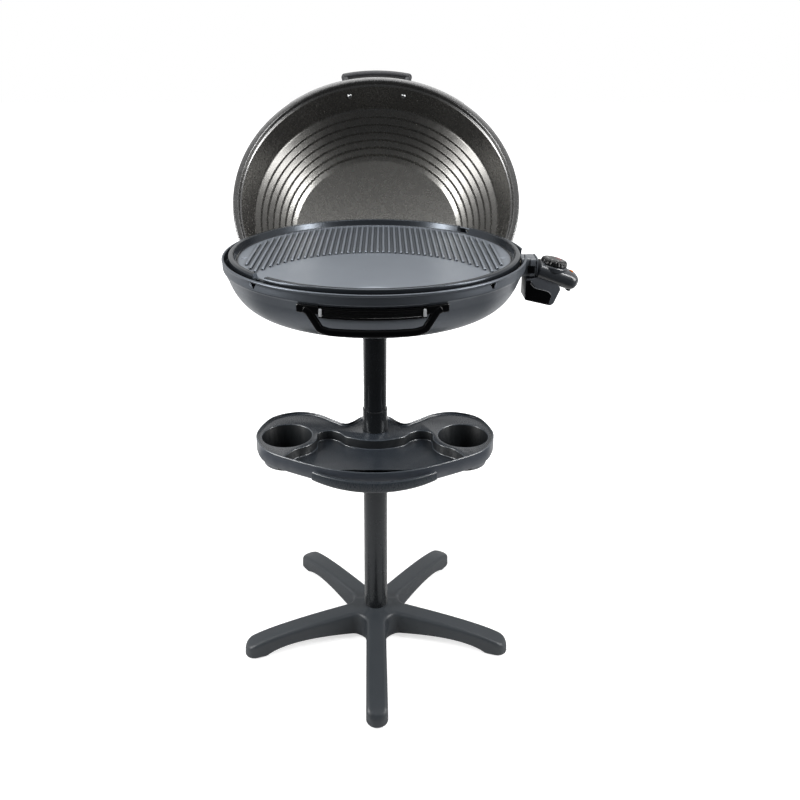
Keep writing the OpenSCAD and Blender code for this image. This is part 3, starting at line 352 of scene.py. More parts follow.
def with_draft(x, y, z):
    """The wells of the cup holders narrow by a tenth towards their floors."""
    side = np.sign(x) * CUP_X
    if z > WELL_TOP + 0.002 or np.hypot(x - side, y - CUP_Y) > WELL_R:
        return x, y, z
    narrow = 1 - 0.1 * min(1, max(0, (WELL_TOP - z) / WELL_DEPTH))
    return side + (x - side) * narrow, CUP_Y + (y - CUP_Y) * narrow, z


# A dark blue-grey on the tops. The inner walls are duller and darker, a painted shade, and the edges and the
# outer wall are lighter, a painted highlight on the edges and a painted reflection on the outer wall.
tray_top = polypropylene(" tray, dark blue-grey", ("#23282e", "#292e34"), 70, (0.24, 0.34))
tray = eased("shelf_tray_moulding", "shelf_tray", 1.3, tray_top, "stand", shape=with_draft)
# Lit and shaded copies of the tray's plastic: painted shade on the inner walls, a painted highlight on the
# edges, a painted reflection on the outer wall
for tone in (polypropylene(", painted shade on inner walls", ("#0d1013", "#121619"), 70, (0.42, 0.55), ior=1.45),
             polypropylene(", painted highlight on edges", ("#353b41", "#3d434a"), 30, (0.24, 0.34)),
             # The outer wall's lighter tone is a painted reflection
             polypropylene(", outer wall", ("#2f343b", "#363b43"), 70, (0.28, 0.38))):
    tray.data.materials.append(tone)
TOPS, INNER_WALLS, EDGES, OUTER_WALL = range(4)
OUTER_REACH = 0.05  # metres
normals, centres = np.empty((2, 3 * len(tray.data.polygons)))
tray.data.polygons.foreach_get("normal", normals)
tray.data.polygons.foreach_get("center", centres)
normals, centres = normals.reshape(-1, 3), centres.reshape(-1, 3)
upright = np.abs(normals[:, 2]) < 0.6
# A wall is an outer one where the tray reaches less than OUTER_REACH further out than the wall itself
facing = normals[:, :2] / np.maximum(np.linalg.norm(normals[:, :2], axis=1, keepdims=True), 1e-6)
reach = (facing @ centres[:, :2].T).max(1) - (facing * centres[:, :2]).sum(1)
part = np.where(upright, np.where(reach < OUTER_REACH, OUTER_WALL, INNER_WALLS), TOPS)
tray.data.polygons.foreach_set("material_index", part.astype(np.int32))
# The rounded edges take the lighter EDGES tone, a painted highlight
tray.modifiers["rounded edges"].material = EDGES
tray.modifiers["rounded edges"].use_clamp_overlap = False


def swept(path, side, half_side, half_up, power=3.0, ends=(4, 4), count=28):
    """A bar along a path. Its section is a squared-off oval, |a|^power + |b|^power = 1, with one half axis
    along side and the other square to it and to the path; at each end it closes over a quarter of an oval.
    side is one direction for each point of the path, or a single one for all, as a list of one."""
    run = np.concatenate([[0], np.cumsum(np.linalg.norm(np.diff(path, axis=0), axis=1))])
    closing = 1 - np.cos(np.linspace(0, np.pi / 2, 7))
    between = run[(run > ends[0]) & (run < run[-1] - ends[1])]
    at = np.concatenate([ends[0] * closing, between, run[-1] - ends[1] * closing])
    at = np.unique(np.round(at, 5))

    def along(values):
        """Values of the path's points, or one for all of them, at the bar's own sections."""
        values = np.broadcast_to(np.asarray(values, float), (len(run),) + np.shape(values)[1:])
        return np.stack([np.interp(at, run, column) for column in values.reshape(len(run), -1).T], -1)

    middle, across = along(path), along(side)
    ahead = np.gradient(middle, at, axis=0)
    ahead /= np.linalg.norm(ahead, axis=1, keepdims=True)
    across -= ahead * (across * ahead).sum(1, keepdims=True)
    across /= np.linalg.norm(across, axis=1, keepdims=True)
    upward = np.cross(ahead, across)
    left = np.minimum(at / ends[0], (run[-1] - at) / ends[1]).clip(0, 1)
    scale = np.sqrt(1 - (1 - left) ** 2)
    turn = np.linspace(0, 2 * np.pi, count, endpoint=False)
    a = np.sign(np.cos(turn)) * np.abs(np.cos(turn)) ** (2 / power)
    b = np.sign(np.sin(turn)) * np.abs(np.sin(turn)) ** (2 / power)
    wide, tall = along(half_side) * scale[:, None], along(half_up) * scale[:, None]
    grid = (middle[:, None] + (wide * a)[:, :, None] * across[:, None]
            + (tall * b)[:, :, None] * upward[:, None])
    return sheet_of(grid, True)


def arc_outward(middle, half, count):
    """Outward directions at count angles, in degrees, from middle - half to middle + half."""
    turn = np.radians(np.linspace(middle - half, middle + half, count))
    return np.stack([np.cos(turn), np.sin(turn), np.zeros(count)], -1)


# The towel rail is deeper and hangs lower in its middle than at its ends, and its edges are round
RAIL_R, RAIL_HALF_TURN, RAIL_CENTRE = 172.5, 36, [0, -11.0, 421.6]
outward = arc_outward(-90, RAIL_HALF_TURN, 61)
rise = np.linspace(-1, 1, 61) ** 2
rail_line = outward * RAIL_R + RAIL_CENTRE + 3.4 * rise[:, None] * [0, 0, 1]
rail_plastic = polypropylene(" rail, blue-grey", ("#2b3035", "#32373d"), 40, (0.24, 0.34), ior=1.6)
piece("towel_rail_moulding", [swept(rail_line, outward, 3.4, 9.4 - 1.6 * rise, 4.0, (3, 3))], rail_plastic,
      "stand", "moulded_tray", "towel_rail")
dress(black_plastic, "tray_collar")

# ---- Column socket ----
# A flanged socket, moulded in black nylon, sits under the bowl and takes the upper end of the column.
# Four zinc plated screws hold its flange.

dress(black_plastic, "column_socket")

# ---- Bowl ----
# Pressed sheet steel in blue-grey enamel paint, with a rolled rim, a plain band and a round belly.
# A slot at the front takes the drip tray, a cut-out at the right the controller. Four vents pierce the band.


def rounded(path, radius, steps=5):
    """A path whose corners are short curves, each from radius before its corner to radius after it."""
    path = np.array(path, float)
    radii = np.broadcast_to(radius, len(path))
    turned = [path[:1]]
    for i in range(1, len(path) - 1):
        before, after = path[i - 1] - path[i], path[i + 1] - path[i]
        reach = min(radii[i], 0.48 * np.linalg.norm(before), 0.48 * np.linalg.norm(after))
        turned.append(bend(path[i] + before / np.linalg.norm(before) * reach, path[i],
                           path[i] + after / np.linalg.norm(after) * reach, steps))
    turned.append(path[-1:])
    return np.concatenate(turned)


def aside(path, distance):
    """A path moved sideways, to its left, by a distance at every point."""
    ahead = np.gradient(path, axis=0)
    ahead /= np.linalg.norm(ahead, axis=1, keepdims=True)
    return path + distance * np.stack([-ahead[:, 1], ahead[:, 0]], -1)


def turned_about(path, angles):
    """A profile of radius and height turned about the upright axis, a column for each angle in degrees."""
    a = np.radians(angles)
    height = np.repeat(path[:, 1:], len(a), axis=1)
    return np.stack([path[:, :1] * np.cos(a), path[:, :1] * np.sin(a), height], -1)


def wall_between(outer, inner, keep):
    """A wall between two paired closed grids. keep tells which cells are there; every edge of the kept cells
    is closed by a face from one grid to the other, which makes rims and the sides of openings."""
    rows, columns = outer.shape[:2]
    a = np.arange(rows * columns).reshape(rows, columns)
    b = np.roll(a, -1, axis=1)
    other = rows * columns
    skin = np.stack([a[:-1], b[:-1], b[1:], a[1:]], -1)[keep]
    level = np.zeros((rows, columns), bool)
    level[:-1] = keep
    level[1:] ^= keep
    upright = keep ^ np.roll(keep, 1, axis=1)
    rims = np.stack([a, b, b + other, a + other], -1)[level]
    jambs = np.stack([a[:-1], a[1:], a[1:] + other, a[:-1] + other], -1)[upright]
    points = np.concatenate([outer.reshape(-1, 3), inner.reshape(-1, 3)])
    return points, np.concatenate([skin, skin + other, rims, jambs])


def bowl_surface(wall=2.0):
    """The bowl as a wall turned about the upright axis. The columns of the grid stand at the sides of the
    openings, the rows at their heights, and the columns beside a vent lean with its sloping sides."""
    rim_r, rim_h = 247, 758
    slot_top, slot_foot, notch_foot, vent_top, vent_foot, lean_foot = 740.2, 721.8, 717.0, 756.0, 747.0, 740.5
    bead = np.radians(np.linspace(90, -50, 9))[:, None]
    rim = np.array([rim_r, rim_h]) + 2 * np.hstack([np.cos(bead), np.sin(bead)])
    inner_bead = np.radians(np.linspace(90, 215, 9))[:, None]
    inner_rim = np.array([rim_r, rim_h]) + 2 * np.hstack([np.cos(inner_bead), np.sin(inner_bead)])
    side = rounded(np.concatenate([[[248.1, 756.0], [248.1, 747.0], [248.0, 744], [246, 741.8], [243, 735]],
                                   bend([240, 728], [223, 676], [175, 674]), [[60, 674], [0, 674]]]), 1.6, 3)
    marks = np.array([vent_top, 753.0, 750.0, vent_foot, slot_top, 734.0, 728.0, slot_foot, notch_foot])
    length = np.concatenate([[0], np.cumsum(np.linalg.norm(np.diff(side, axis=0), axis=1))])
    at = np.unique(np.concatenate([length, np.interp(-marks, -side[:60, 1], length[:60])]))
    at = at[np.concatenate([[True], np.diff(at) > 0.02])]
    side = np.stack([np.interp(at, length, side[:, i]) for i in (0, 1)], -1)
    inside = aside(side, -wall)
    inside[-1, 0] = 0
    inside[:, 0] = np.maximum(inside[:, 0], 0)
    section = np.concatenate([rim, side])
    hollow = np.concatenate([inner_rim, inside])
    slot_half = np.degrees(np.arcsin(77.2 / rim_r))
    notch_half = np.degrees(np.arcsin(21 / 245))
    vents = np.array([45, 135, 225, 315])
    vent_half = np.degrees(9 / rim_r)
    angles = np.concatenate([np.arange(0, 360, 2.0), 270 + slot_half * np.array([-1, 1]),
                             notch_half * np.array([-1, 1]) % 360,
                             (vents[:, None] + vent_half * np.linspace(-3, 3, 13)).ravel()])
    angles = np.unique(np.round(angles, 6))
    outer, inner = turned_about(section, angles), turned_about(hollow, angles)
    middle = (angles + np.roll(angles, -1) + np.where(np.roll(angles, -1) < angles, 360, 0)) / 2 % 360
    height = (section[1:, 1] + section[:-1, 1])[:, None] / 2
    keep = ~((np.abs(middle - 270) < slot_half) & (height < slot_top) & (height > slot_foot))
    keep &= ~((np.minimum(middle, 360 - middle) < notch_half) & (height > notch_foot))
    apart = (angles[:, None] - vents + 180) % 360 - 180
    nearest = apart[np.arange(len(angles)), np.abs(apart).argmin(1)] / vent_half
    between = (middle[:, None] - vents + 180) % 360 - 180
    keep &= ~((np.abs(between).min(1) < vent_half) & (height < vent_top) & (height > vent_foot))
    # A vent is 18 mm wide at its top and 4 mm at its foot
    for grid in (outer, inner):
        narrow = np.interp(grid[:, :, 2], [lean_foot, vent_foot, vent_top, rim_h], [1, 4 / 18, 1, 1])
        size = np.abs(nearest)
        moved = np.where(size <= 1, size * narrow, narrow + (size - 1) * (3 - narrow) / 2)
        moved = np.where(size < 3, moved, size) * np.sign(nearest)
        turn = np.radians((moved - nearest) * vent_half)
        x, y = grid[:, :, 0].copy(), grid[:, :, 1].copy()
        grid[:, :, 0] = x * np.cos(turn) - y * np.sin(turn)
        grid[:, :, 1] = x * np.sin(turn) + y * np.cos(turn)
    return wall_between(outer, inner, keep)


# Enamel paint: blue-grey and satin, with a faint orange peel that breaks up the highlights
bowl_paint = finish("blue-grey enamel paint on pressed steel", ("#50555b", "#575c63"), 90, (0.32, 0.4), 2.4,
                    0.008, metallic=0.6)
piece("bowl_pressing", [bowl_surface()], bowl_paint, "grill_head", "painted_bowl", "bowl")

# Inside the bowl, of bright sheet: the reflector on its posts, the drip tray's runners, the element's clips
bright_sheet = finish("bright aluminised sheet", ("#c4c6c8", "#d6d7d8"), 30, (0.16, 0.3), 1.5, 0.01,
                      metallic=1.0)
dress(bright_sheet, "heat_reflector", "reflector_posts", "drip_runners", "element_clips")
# Heat-blackened steel: dull, almost black
dress(finish("heat-blackened steel strip", ("#1a1a1b", "#232323"), 12, (0.5, 0.65), 1.0, 0.006, metallic=0.5),
      "plate_rests")

# ---- Front handle and hinge ----
# A bail moulded in glossy black phenolic, held below the slot by two screws. Behind the bowl, two black nylon
# brackets hold the lid's pivots, and two arms carry the lid.

gloss_black = finish("glossy black phenolic", ("#050506", "#08090a"), 30, (0.1, 0.16), 6, 0.001, ior=1.3)


def around_bowl(line, radius):
    """A line of degrees from the front and height, laid around the bowl at a radius, and its outward ways."""
    a = np.radians(line[:, 0] - 90)
    way = np.stack([np.cos(a), np.sin(a), np.zeros(len(a))], -1)
    return way * radius[:, None] + line[:, 1:] * [0, 0, 1], way


# The bail hangs from two flat feet, which its screws hold to the band
BAND_R = 247.6
bail = []
line = rounded([[-23.1, 735], [-21.2, 731], [-17.4, 706], [-14.2, 703], [0, 703], [14.2, 703], [17.4, 706],
                [21.2, 731], [23.1, 735]], [0, 1, 3, 1, 0, 1, 3, 1, 0], 8)
# Four points for each one of the line, so that it bends with the bowl
fine = np.linspace(0, len(line) - 1, 4 * len(line))
line = np.stack([np.interp(fine, np.arange(len(line)), line[:, i]) for i in (0, 1)], -1)
path, way = around_bowl(line, np.interp(line[:, 1], [703, 735], [246, BAND_R]))
bail.append(swept(path, way, 3.9, 5.6, 3.2, (2, 2)))
for end in (-1, 1):
    foot = np.stack([end * np.linspace(17.6, 25.6, 11), np.full(11, 734.6)], -1)
    path, way = around_bowl(foot, np.full(11, 247.0))
    bail.append(swept(path, way, 2.9, 6.2, 5.0, (1, 1)))
piece("front_handle_moulding", bail, gloss_black, "grill_head", "gloss_black", "front_handle")
dress(black_plastic, "hinge_brackets", "lid_arms")

# ---- Drip tray ----
# A pan of bright aluminised sheet that slides out to the front on two runners.
# Its front is moulded in glossy black phenolic and ridged, with a satin aluminium cap at each end.

dress(bright_sheet, "drip_tray")
eased("drip_front_moulding", "drip_tray_front", 0.5, gloss_black, "drip_drawer", 2)
caps = []
for end in (-1, 1):
    path, way = around_bowl(np.stack([end * np.linspace(16.5, 17.7, 5), np.full(5, 731.0)], -1),
                            np.full(5, BAND_R))
    caps.append(swept(path, way, 1.6, 6.0, 4.0, (0.6, 0.6), 20))
satin_cap = finish("satin aluminium trim", ("#b4b7ba", "#c4c6c8"), 6, (0.4, 0.5), 0.8, 0.003, metallic=0.35)
piece("drip_front_caps", caps, satin_cap, "drip_drawer", "bright_sheet")

# ---- Hot plate ----
# Cast aluminium with a grey non-stick coat. It has ribs on the back half and down both sides, a smooth zone
# in front, a raised rim with two notches, and a dip that leads fat to a slot above the drip tray.

PLATE_FLOOR = 754.0


def plate_surface(radius=238.3):
    """The plate as a closed section turned about the axis. Its floor then sinks by a smooth step inside the
    drain's circle, the slot and two round marks, and its rim is cut down at 45 and 225 degrees."""
    floor_rings = np.concatenate([np.arange(0, 160, 12), np.arange(160, 221, 1.6)])
    flat = np.stack([floor_rings, np.full_like(floor_rings, PLATE_FLOOR)], -1)
    rise = rounded([[221.5, PLATE_FLOOR], [225.6, PLATE_FLOOR], [230.0, 764.8], [radius, 765], [radius, 749],
                    [234.4, 749], [234.4, 756], [229.3, 756], [226.3, 746.2], [120, 746], [0, 746]],
                   [0, 3, 1.3, 6.5, 0.8, 0.8, 1, 1, 1, 1, 0], 6)
    section = np.concatenate([flat, rise])
    notches, notch_half = np.array([45, 225]), np.degrees(13 / 232)
    cuts = notches[:, None] + notch_half * np.array([-1.06, -0.98, 0.98, 1.06])
    angles = np.unique(np.concatenate([np.arange(0, 360, 0.6), cuts.ravel()]))
    grid = turned_about(section, angles)
    x, y, z = grid[:, :, 0], grid[:, :, 1], grid[:, :, 2]
    cut = np.abs((angles[:, None] - notches + 180) % 360 - 180).min(1) < notch_half
    cut_r = np.linalg.norm(grid[:, cut, :2], axis=2)
    z[:, cut] = np.minimum(z[:, cut], np.interp(cut_r, [227, 231], [758.0, 752.5]))

    def step(distance, width):
        """1 inside and 0 outside of distance 0, with a smooth step s^2 (3 - 2 s) between."""
        s = np.clip(0.5 - distance / width, 0, 1)
        return s * s * (3 - 2 * s)

    floor_part = (np.arange(len(section)) < len(flat))[:, None]
    drain_y, drain_r, slot_y, slot_half, mark_x, mark_y, mark_r = -240, 52, -208.3, (15, 4), 209, -25, 6
    drain = 0.9 * step(np.hypot(x, y - drain_y) - drain_r, 3.2)
    slot = 4.0 * step(np.maximum(np.abs(x) - slot_half[0], np.abs(y - slot_y) - slot_half[1]), 2.0)
    marks = 1.2 * step(np.hypot(np.abs(x) - mark_x, y - mark_y) - mark_r, 2.4)
    z -= floor_part * (drain + slot + marks)
    return sheet_of(grid, True)


def rib_surfaces(pitch=9.8, reach=213.0, half=2.2, height=3.2, zone_y=-180, zone_r=190.0):
    """All ribs at once. Each is a long dome: its rows are outlines with round ends, drawn in towards the
    middle line while they rise along a quarter of a squared-off oval. They start below the floor and end on
    the rib's back. The ribs stop at an arc of radius zone_r about zone_y, where the smooth zone starts."""
    count = 2 * int(reach / pitch)
    x = (np.arange(count) - (count - 1) / 2) * pitch
    back = np.sqrt(reach ** 2 - x ** 2)
    front = np.maximum(-back, zone_y + np.sqrt(np.maximum(0, zone_r ** 2 - x ** 2)))
    turns = np.radians(np.concatenate([np.linspace(0, 180, 10), np.linspace(180, 360, 10)]))
    end = np.repeat([1, 0], 10)
    shrink = np.array([1.0, 1.0, 0.97, 0.9, 0.78, 0.6, 0.35, 0.0])
    rise = np.array([-0.3, 0.15, 0.45, 0.72, 0.88, 0.96, 0.99, 1.0])
    parts = []
    for centre, low, high in zip(x, front + half, back - half):
        if high - low < 3 * half:
            continue
        middle = np.where(end, high, low)
        rows = np.stack([centre + half * shrink[:, None] * np.cos(turns),
                         middle + half * shrink[:, None] * np.sin(turns),
                         PLATE_FLOOR + height * np.repeat(rise[:, None], 20, axis=1)], -1)
        parts.append(sheet_of(rows, True))
        foot = np.column_stack([np.full(20, centre), middle, np.full(20, PLATE_FLOOR - 1)])
        parts.append(sheet_of(np.stack([rows[0], foot]), True))
    return parts


def about_axis(tree, place):
    """The separate coordinates of a place, and its distance from the upright axis."""
    part = add(tree, "SeparateXYZ", {"Vector": place})
    flat = add(tree, "CombineXYZ", {"X": part.outputs["X"], "Y": part.outputs["Y"]})
    return part, add(tree, "VectorMath", {0: flat.outputs[0]}, operation="LENGTH").outputs["Value"]


# Non-stick coat on cast aluminium: a mid blue-grey with fine pale flecks and a satin sheen. A painted shade
# darkens the narrow places between the ribs, and the rim is glossier and darker, a painted dark reflection
coat, tree = blank("grey non-stick coat on cast aluminium")
place = add(tree, "TexCoord")
cloud = add(tree, "TexNoise", {"Vector": place.outputs["Object"], "Scale": 1 / (55 * MM), "Detail": 3.0})
fleck = add(tree, "TexNoise", {"Vector": place.outputs["Object"], "Scale": 1 / (1.3 * MM), "Detail": 1.0})
tone = add(tree, "Mix", {0: cloud.outputs["Fac"], 6: linear("#7c828a"), 7: linear("#868c94")},
           data_type="RGBA")
flecked = add(tree, "MapRange", {"Value": fleck.outputs["Fac"], "From Min": 0.62, "From Max": 0.75,
                                 "To Max": 0.35})
tone = add(tree, "Mix", {0: flecked.outputs[0], 6: tone.outputs[2], 7: linear("#a3a9b1")}, data_type="RGBA")
# Painted shade: ambient occlusion over 7 mm pulls the colour towards #1c1e21 in narrow places, such as
# between the ribs
hollow = add(tree, "AmbientOcclusion", {"Distance": 7 * MM}, samples=6)
shade = add(tree, "MapRange", {"Value": hollow.outputs["AO"], "From Min": 0.55, "From Max": 0.98,
                               "To Min": 0.12, "To Max": 1.0})
tone = add(tree, "Mix", {0: shade.outputs[0], 6: linear("#1c1e21"), 7: tone.outputs[2]}, data_type="RGBA")
_, radius = about_axis(tree, place.outputs["Object"])
# Painted dark reflection: beyond 222 mm the rim takes the darker #33373c; it is also glossier there
rim = add(tree, "MapRange", {"Value": radius, "From Min": 221.5 * MM, "From Max": 223.5 * MM})
tone = add(tree, "Mix", {0: rim.outputs[0], 6: tone.outputs[2], 7: linear("#33373c")}, data_type="RGBA")
grainy = add(tree, "MapRange", {"Value": fleck.outputs["Fac"], "From Min": 0.3, "From Max": 0.7,
                                "To Min": 0.32, "To Max": 0.42})
sheen = add(tree, "Mix", {0: rim.outputs[0], 2: grainy.outputs[0], 3: 0.24})
bump = add(tree, "Bump", {"Height": fleck.outputs["Fac"], "Distance": 0.02 * MM, "Strength": 1.0})
shader = add(tree, "BsdfPrincipled", {"Base Color": tone.outputs[2], "Roughness": sheen.outputs[0],
                                      "Normal": bump.outputs[0], "Metallic": 0.7})
add(tree, "OutputMaterial", {"Surface": shader.outputs[0]})
piece("grill_plate_casting", [plate_surface()] + rib_surfaces(), coat, "hot_plate", "cast_plate",
      "grill_plate")

# The heating element: a steel-sheathed rod, oxidised to a warm dark grey, in a ceramic block
dress(finish("oxidised steel sheath", ("#4a4642", "#5c5650"), 12, (0.35, 0.55), 0.9, 0.01, metallic=0.9),
      "heating_element")
dress(finish("glazed steatite ceramic", ("#d8d2c4", "#e2dccf"), 8, (0.3, 0.45), 1.2, 0.01), "terminal_block")

# ---- Lid ----
# Spun sheet steel in dark enamel, inside and outside: a flat flange with an upright lip, a sloping wall,
# six stepped rings and a low dome. It rests open, turned by LID_OPEN on its pivots.

LID_OPEN = np.radians(-130)
PIVOT_Y, PIVOT_Z, LID_FOOT = 160, 707, 755.0


def opened(points):
    """Points of the closed lid turned to its open place about the pivots."""
    y, z = points[..., 1] - PIVOT_Y, points[..., 2] - PIVOT_Z
    turned = points.copy()
    turned[..., 1] = PIVOT_Y + y * np.cos(LID_OPEN) - z * np.sin(LID_OPEN)
    turned[..., 2] = PIVOT_Z + y * np.sin(LID_OPEN) + z * np.cos(LID_OPEN)
    return turned


def lid_surface(wall=1.6):
    """The lid's sheet: a section of lip, flange, skirt, wall, six rounded steps and a dome of height
    rise (1 - (r / radius)^2), with a thickness to both sides, turned about the axis and then opened."""
    step_in, step_up, tread = 11, 12.5, 9.5
    slopes = np.tan(np.radians([38.5, 38, 37, 35.5, 33, 31.5]))
    rings = np.array([[[240.3 - step_in * i, 75.5 + step_up * i],
                       [238.8 - step_in * i, 75.5 + step_up * (i + 1) - tread * slopes[i]]]
                      for i in range(6)])
    dome_edge, dome_rise = np.array([174.3, 150.2]), 22
    bow = np.linspace(1, 0, 22)[1:, None]
    dome = np.hstack([dome_edge[0] * bow, dome_edge[1] + dome_rise * (1 - bow ** 2)])
    flange = [[284.2, 8.0], [284.2, 0.8], [274.2, 0.8], [272.7, 9.6], [269.2, 11.8], [252.5, 65.7]]
    line = np.concatenate([flange, rings.reshape(-1, 2), [dome_edge], dome[:1]])
    line = rounded(line, np.array([0, 2.0, 1.6, 1.5, 1.5, 4] + [1.3, 1.3] * 6 + [1.5, 0]), 5)
    line = np.concatenate([line, dome[1:]])
    inner = aside(line, wall / 2)
    outer = aside(line, -wall / 2)
    inner[-1, 0] = outer[-1, 0] = 0
    angles = np.arange(0, 360, 1.5)
    grids = [opened(turned_about(path + [0, LID_FOOT], angles)) for path in (outer, inner)]
    return wall_between(*grids, np.ones((len(line) - 1, len(angles)), bool))


# Dark enamel: warm grey with a metal's sheen. A painted shade darkens it from the middle rings outwards, and
# the flange has a grey of its own, a painted highlight
lid_enamel = finish("dark enamel on spun steel", ("#83827f", "#8b8a87"), 80, (0.25, 0.29), 12, 0.002,
                    metallic=0.9)
tree = lid_enamel.node_tree
shader = tree.nodes["Principled BSDF"]
tone = shader.inputs["Base Color"].links[0].from_socket
centre = opened(np.array([0.0, 0.0, LID_FOOT])) * MM
closed = add(tree, "Mapping", {"Vector": tree.nodes["Texture Coordinate"].outputs["Object"],
                               "Location": tuple(centre), "Rotation": (LID_OPEN, 0, 0)},
             vector_type="TEXTURE")
_, radius = about_axis(tree, closed.outputs[0])
# Painted shade: from 170 to 222 mm out the colour falls to the darker #605f5d, which dims the highlights on
# the outer rings
outer = add(tree, "MapRange", {"Value": radius, "From Min": 170 * MM, "From Max": 222 * MM})
# Painted highlight: beyond 270 mm the flange takes a grey of its own, #646464
flange = add(tree, "MapRange", {"Value": radius, "From Min": 268.5 * MM, "From Max": 270 * MM})
tone = add(tree, "Mix", {0: outer.outputs[0], 6: tone, 7: linear("#605f5d")}, data_type="RGBA")
tone = add(tree, "Mix", {0: flange.outputs[0], 6: tone.outputs[2], 7: linear("#646464")}, data_type="RGBA")
tree.links.new(tone.outputs[2], shader.inputs["Base Color"])
piece("lid_spinning", [lid_surface()], lid_enamel, "lid", "spun_lid", "lid_shell")

# The handle is a bowed bar on two posts
GRIP_R, GRIP_Z = 313, 784
outward = arc_outward(-90, 14, 41)
grip = [swept(outward * GRIP_R + [0, 0, GRIP_Z], outward, 5.8, 8.6, 4.0, (7, 7))]
for way in arc_outward(-90, 12.58, 2):
    post = way * np.linspace(264.5, GRIP_R - 2, 9)[:, None] + [0, 0, GRIP_Z]
    grip.append(swept(post, [[0, 0, 1]], 7.6, 7.6, 2.4, (1, 1)))
grip = [(opened(vertices), cells) for vertices, cells in grip]
dull_black = finish("moulded black phenolic, dull", ("#242528", "#2a2b2e"), 25, (0.42, 0.5), 1.2, 0.004)
piece("lid_handle_moulding", grip, dull_black, "lid", "black_plastic", "lid_handle")

# ---- Controller ----
# A plug-in thermostat, moulded in black and grey polyamide: a square neck, a round housing that slopes down
# from it, a box below and a fluted dial. It sits at the right of the bowl and unplugs from the element.

CROSSWISE = [[0, 1, 0]]  # the side of all its bars, since they run outwards
controller_plastic = finish("moulded black polyamide", ("#26292d", "#2d3034"), 30, (0.26, 0.34), 1.1, 0.004,
                            ior=1.6)
slope = np.radians(20)
down = np.array([np.cos(slope), 0, -np.sin(slope)])
body_line = np.array([268.0, 0, 732.0]) + np.linspace(0, 76, 60)[:, None] * down
DIAL_FOOT, DIAL_LEAN = np.array([297.733, 0, 737.673]), np.radians(12)


def at_dial(points):
    """Points of a part turned about the dial's leaning axis, from its own frame to their place."""
    turned = points.copy()
    turned[..., 0] = points[..., 0] * np.cos(DIAL_LEAN) + points[..., 2] * np.sin(DIAL_LEAN)
    turned[..., 2] = points[..., 2] * np.cos(DIAL_LEAN) - points[..., 0] * np.sin(DIAL_LEAN)
    return turned + DIAL_FOOT


# The housing, with two bosses below it for its screws
bosses = []
for boss_y in (-8, 8):
    top = body_line[0] + 64 * down + [0, boss_y, 0]
    line = top - np.linspace(9, 16.4, 8)[:, None] * np.array([np.sin(slope), 0, np.cos(slope)])
    bosses.append(swept(line, CROSSWISE, 4.4, 4.4, 2.0, (0.5, 0.8), 24))
# The dial turns on a round seat that stands a little out of the housing
seat = rounded([[0, -9], [24.4, -9], [24.4, -2.4], [22.8, -0.6], [0, -0.6]], [0, 0, 1, 1, 0], 4)
piece("housing_moulding", [swept(body_line, CROSSWISE, 23.9, 14.9, 2.8, (4, 17), 56),
                           sheet_of(at_dial(turned_about(seat, np.arange(0, 360, 4.0))), True)] + bosses,
      controller_plastic, "controller", "black_plastic", "controller_upper_shell")

# The neck is a squared collar that ends in a groove and a thin flange at the housing
NECK_Z, WIDE_FROM, GROOVE_FROM, FLANGE_FROM = 735.6, 256, 264.6, 266.3
collar = np.linspace(240.5, 269.5, 60)
high = np.where(collar > FLANGE_FROM, 16.8, np.where(collar > GROOVE_FROM, 14.4, 16.4))
wide = np.where(collar > WIDE_FROM, high + 4, 18.6)
neck_plastic = finish("moulded grey polyamide, satin", ("#4a4e53", "#52565b"), 20, (0.24, 0.32), 1.1, 0.004,
                      ior=1.6)
path = collar[:, None] * [1, 0, 0] + [0, 0, NECK_Z]
piece("neck_moulding", [swept(path, CROSSWISE, wide, high, 5.5, (1.5, 1.2), 64)], neck_plastic, "controller",
      "black_plastic", "controller_neck")


def prism(corners, radius, near, far, edge=1.0):
    """A solid between two upright planes, y near and y far, with a rounded plan of x and z. Its edges are
    rounded by a quarter round of radius edge."""
    corners = np.array(corners, float)
    start = (corners[:1] + corners[-1:]) / 2
    outline = rounded(np.concatenate([start, corners, start]), radius, 6)
    signed = (outline[:-1, 0] * outline[1:, 1] - outline[1:, 0] * outline[:-1, 1]).sum()
    turn = np.radians(np.linspace(0, 90, 5))
    steps = [(edge * (1 - np.sin(t)), near + edge * (1 - np.cos(t)) * np.sign(far - near)) for t in turn]
    steps += [(inset, far + near - y) for inset, y in steps[::-1]]
    rows = [np.broadcast_to([corners[:, 0].mean(), near, corners[:, 1].mean()], (len(outline), 3))]
    for inset, y in steps:
        moved = aside(outline, inset * np.sign(signed))
        rows.append(np.stack([moved[:, 0], np.full(len(moved), y), moved[:, 1]], -1))
    rows.append(rows[0] + [0, far - near, 0])
    return sheet_of(np.array(rows), False)


# The box under the housing, with a black panel in its front and a fine bright line along the panel's edge
box_grey = finish("moulded grey polyamide, polished", ("#46494e", "#4d5055"), 20, (0.26, 0.34), 1.1, 0.004)
box_line = [[249.6, 717], [249.9, 681.4], [293, 671.4], [298.5, 675], [308.6, 700], [298, 722.6],
            [268, 720.6]]
piece("housing_box_moulding", [prism(box_line, 3, -21.4, 21.8, 1.6)], box_grey, "controller", "black_plastic",
      "controller_lower_shell")
panel_line = [[250.3, 715.6], [250.5, 682.4], [289.6, 673.9], [293.6, 690], [287, 696.6], [265, 702.2],
              [257.6, 715.6]]
piece("housing_panel", [prism(panel_line, [0, 1, 1, 1.5, 4, 4, 6, 1, 0], -21.95, -20.5, 0.4)], gloss_black,
      "controller", "black_plastic")
